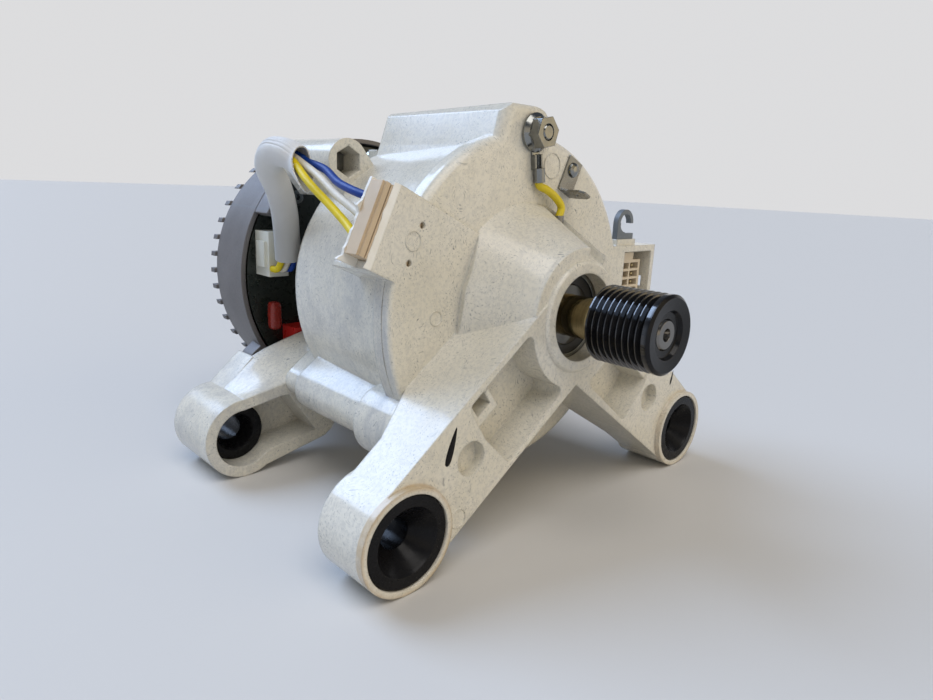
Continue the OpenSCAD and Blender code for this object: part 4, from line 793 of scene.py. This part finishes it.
    def add_strokes(self):
        """Flat strokes that swell on their way: half width = widest (0.3 + 0.7 t^0.8) sin(pi t)^0.3."""
        ink = plain_finish("ink", (0.004, 0.004, 0.005), (0.007, 0.006, 0.007), (0.4, 0.55),
                           Specular_IOR_Level=0.15)
        t = np.linspace(0.002, 0.998, 30)[:, None]
        a = np.linspace(0, 2 * np.pi, 12, endpoint=False)
        for k, (start, end, widest) in enumerate(self.strokes):
            start, end = np.array(start), np.array(end)
            way = unit(end - start)
            half = widest * (0.3 + 0.7 * t ** 0.8) * np.sin(np.pi * t) ** 0.3
            middle = start + t * (end - start)
            across = middle[:, None] + (half * np.cos(a))[..., None] * np.array([-way[1], way[0]])
            depth = np.broadcast_to(LEG_FACE_Y - 0.02 * np.sin(a), across.shape[:2])
            grid = np.stack([across[..., 0], depth, across[..., 1]], -1) * MM
            new_piece("ink_stroke_%d" % (k + 1), grid_mesh("ink_stroke", grid, caps=True), ink)


class MOTOR_OT_cover(bpy.types.Operator):
    """Finish the cast rear cover and the board behind its open side"""
    bl_idname = "motor.cover"
    bl_label = "Cover and board"

    # Legs of the film capacitor: length, radius and heights above the shaft, millimetres
    leg_length, leg_radius, leg_heights = 3.0, 0.35, (-20.0, -12.5)

    def execute(self, context):
        colours = context.scene.motor_colours
        paint(cast_finish(colours), "heat_sink_cover")
        # Near-black board: partly its own dark coating, partly painted shade of the closed interior
        paint(plain_finish("board", (0.010, 0.014, 0.011), (0.018, 0.022, 0.018), (0.22, 0.4)),
              "control_board")
        paint(plain_finish("component_black", (0.02, 0.02, 0.02), (0.03, 0.03, 0.03), (0.35, 0.5)),
              "bulk_capacitor", "power_module")
        paint(plain_finish("connector_white", (0.66, 0.66, 0.58), (0.58, 0.58, 0.50), (0.35, 0.48)),
              "board_connector")
        red = plain_finish("capacitor_red", (0.24, 0.018, 0.010), (0.17, 0.014, 0.010), (0.2, 0.34))
        paint(plain_finish("capacitor_bright", (0.60, 0.02, 0.015), (0.48, 0.02, 0.015), (0.25, 0.4)),
              "line_capacitor")
        self.add_film_capacitor(red)
        return {"FINISHED"}

    def add_film_capacitor(self, red):
        """Dipped capacitor: a superellipsoid, each axis a signed power of a sine or cosine, and two legs."""
        rows, columns = 33, 48
        low, high = (np.array(corner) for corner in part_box("film_capacitor"))
        body_back = high[1] - self.leg_length * MM
        centre = np.array([(low[0] + high[0]) / 2, (low[1] + body_back) / 2, (low[2] + high[2]) / 2])
        half = np.array([high[0] - low[0], body_back - low[1], high[2] - low[2]]) / 2
        v = np.linspace(-np.pi / 2 + 0.02, np.pi / 2 - 0.02, rows)[:, None]
        a = np.linspace(0, 2 * np.pi, columns, endpoint=False)[None, :]

        def power(x, e):
            return np.sign(x) * np.abs(x) ** e

        ring = power(np.cos(v), 0.4)
        grid = np.stack([ring * power(np.cos(a), 0.6), ring * power(np.sin(a), 0.6),
                         np.broadcast_to(power(np.sin(v), 0.4), (rows, columns))], -1)
        mesh = grid_mesh("film_capacitor_body", centre + half * grid, caps=True)
        body = new_piece("film_capacitor_body", mesh, red)
        z = np.array(self.leg_heights)[:, None] + SHAFT_H
        y = np.linspace(body_back / MM - 1.0, high[1] / MM, 4)[None, :]
        legs = np.stack(np.broadcast_arrays(centre[0] / MM, y, z), -1) * MM
        tin = plain_finish("leg_tin", (0.55, 0.55, 0.54), (0.45, 0.45, 0.44), (0.25, 0.4), 1.0)
        grids = tube_grid(legs, np.full(legs.shape[:2], self.leg_radius * MM), 10)
        mesh = grid_mesh("film_capacitor_legs", grids, caps=True)
        new_piece("film_capacitor_legs", mesh, tin)
        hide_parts("film_capacitor")


class MOTOR_OT_drive(bpy.types.Operator):
    """Finish the pulley, the shaft, the bearings and the pieces inside"""
    bl_idname = "motor.drive"
    bl_label = "Drive"

    def execute(self, context):
        paint(pulley_finish(), "pulley")
        paint(turned_finish("turned_steel", (0.72, 0.60, 0.36), (0.50, 0.42, 0.26), (0.05, 0.15), 40.0,
                            (0.2, 0.19, 0.175)), "shaft")
        # Painted shade: the bearing steel is far darker than bare steel, standing for the dark reflections
        # in the hub's bore
        paint(turned_finish("bearing_steel", (0.13, 0.12, 0.10), (0.09, 0.085, 0.075), (0.1, 0.24), 30.0),
              "front_bearing_outer", "front_bearing_inner", "front_bearing_balls", "rear_bearing_outer",
              "rear_bearing_inner", "rear_bearing_balls")
        paint(plain_finish("seal_black", (0.02, 0.02, 0.02), (0.03, 0.03, 0.03), (0.35, 0.5)),
              "front_bearing_seals", "rear_bearing_seals")
        paint(turned_finish("cage_brass", (0.60, 0.44, 0.20), (0.48, 0.34, 0.15), (0.25, 0.4), 20.0),
              "front_bearing_cage", "rear_bearing_cage")
        paint(plain_finish("lamination", (0.25, 0.26, 0.27), (0.2, 0.2, 0.21), (0.4, 0.55), 0.9),
              "rotor_core", "stator_core")
        paint(plain_finish("magnet", (0.09, 0.09, 0.1), (0.07, 0.07, 0.08), (0.45, 0.6), 0.4),
              "rotor_magnets", "sensor_magnet")
        paint(plain_finish("bobbin", (0.80, 0.80, 0.76), (0.72, 0.72, 0.68), (0.4, 0.5)), "coil_bobbins")
        paint(plain_finish("winding", (0.48, 0.20, 0.09), (0.36, 0.14, 0.06), (0.3, 0.42), 0.7),
              "stator_coils")
        return {"FINISHED"}


class MOTOR_OT_bushes(bpy.types.Operator):
    """Finish the black bushes in the four eyes"""
    bl_idname = "motor.bushes"
    bl_label = "Bushes"

    def execute(self, context):
        black = plain_finish("bush_black", (0.005, 0.005, 0.006), (0.009, 0.009, 0.010), (0.2, 0.34),
                             grain=300.0, depth=0.04, edge=0.0004, Specular_IOR_Level=0.14)
        paint(black, "front_bush_left", "front_bush_right", "rear_bush_left", "rear_bush_right")
        return {"FINISHED"}


class MOTOR_OT_connectors(bpy.types.Operator):
    """Finish the lead plug, the signal contacts and the cable hook"""
    bl_idname = "motor.connectors"
    bl_label = "Connectors"

    def execute(self, context):
        colours = context.scene.motor_colours
        paint(plain_finish("plug_tan", colours.plug, darker(colours.plug, 0.88), (0.35, 0.5)), "lead_plug")
        paint(plain_finish("block_cream", (0.66, 0.57, 0.43), (0.60, 0.51, 0.38), (0.35, 0.5)),
              "signal_pin_block")
        paint(turned_finish("pin_metal", (0.62, 0.50, 0.26), (0.5, 0.4, 0.2), (0.2, 0.34), 10.0),
              "signal_pins")
        paint(plain_finish("hook_grey", (0.11, 0.13, 0.15), (0.15, 0.17, 0.19), (0.4, 0.55)), "cable_hook")
        return {"FINISHED"}


class MOTOR_PT_panel(bpy.types.Panel):
    """Sidebar panel that lists the settings and the steps"""
    bl_idname = "MOTOR_PT_panel"
    bl_label = "Motor"
    bl_space_type = "VIEW_3D"
    bl_region_type = "UI"
    bl_category = "Motor"

    def draw(self, context):
        for operator in OPERATORS:
            self.layout.operator(operator.bl_idname)
        for name in GROUPS:
            group = getattr(context.scene, name)
            for setting in group.__annotations__:
                self.layout.prop(group, setting)


OPERATORS = (MOTOR_OT_stage, MOTOR_OT_lead, MOTOR_OT_earth, MOTOR_OT_housing, MOTOR_OT_cover, MOTOR_OT_drive,
             MOTOR_OT_bushes, MOTOR_OT_connectors)
GROUPS = {"motor_colours": MotorColours, "motor_sizes": MotorSizes, "motor_stage": MotorStage}
CLASSES = (*GROUPS.values(), *OPERATORS, MOTOR_PT_panel)


def register():
    for made in CLASSES:
        bpy.utils.register_class(made)
    for name, group in GROUPS.items():
        setattr(bpy.types.Scene, name, bpy.props.PointerProperty(type=group))


def unregister():
    for name in GROUPS:
        delattr(bpy.types.Scene, name)
    for made in reversed(CLASSES):
        bpy.utils.unregister_class(made)


def main():
    register()
    for operator in OPERATORS:
        group, name = operator.bl_idname.split(".")
        getattr(getattr(bpy.ops, group), name)()


if __name__ == "__main__":
    main()
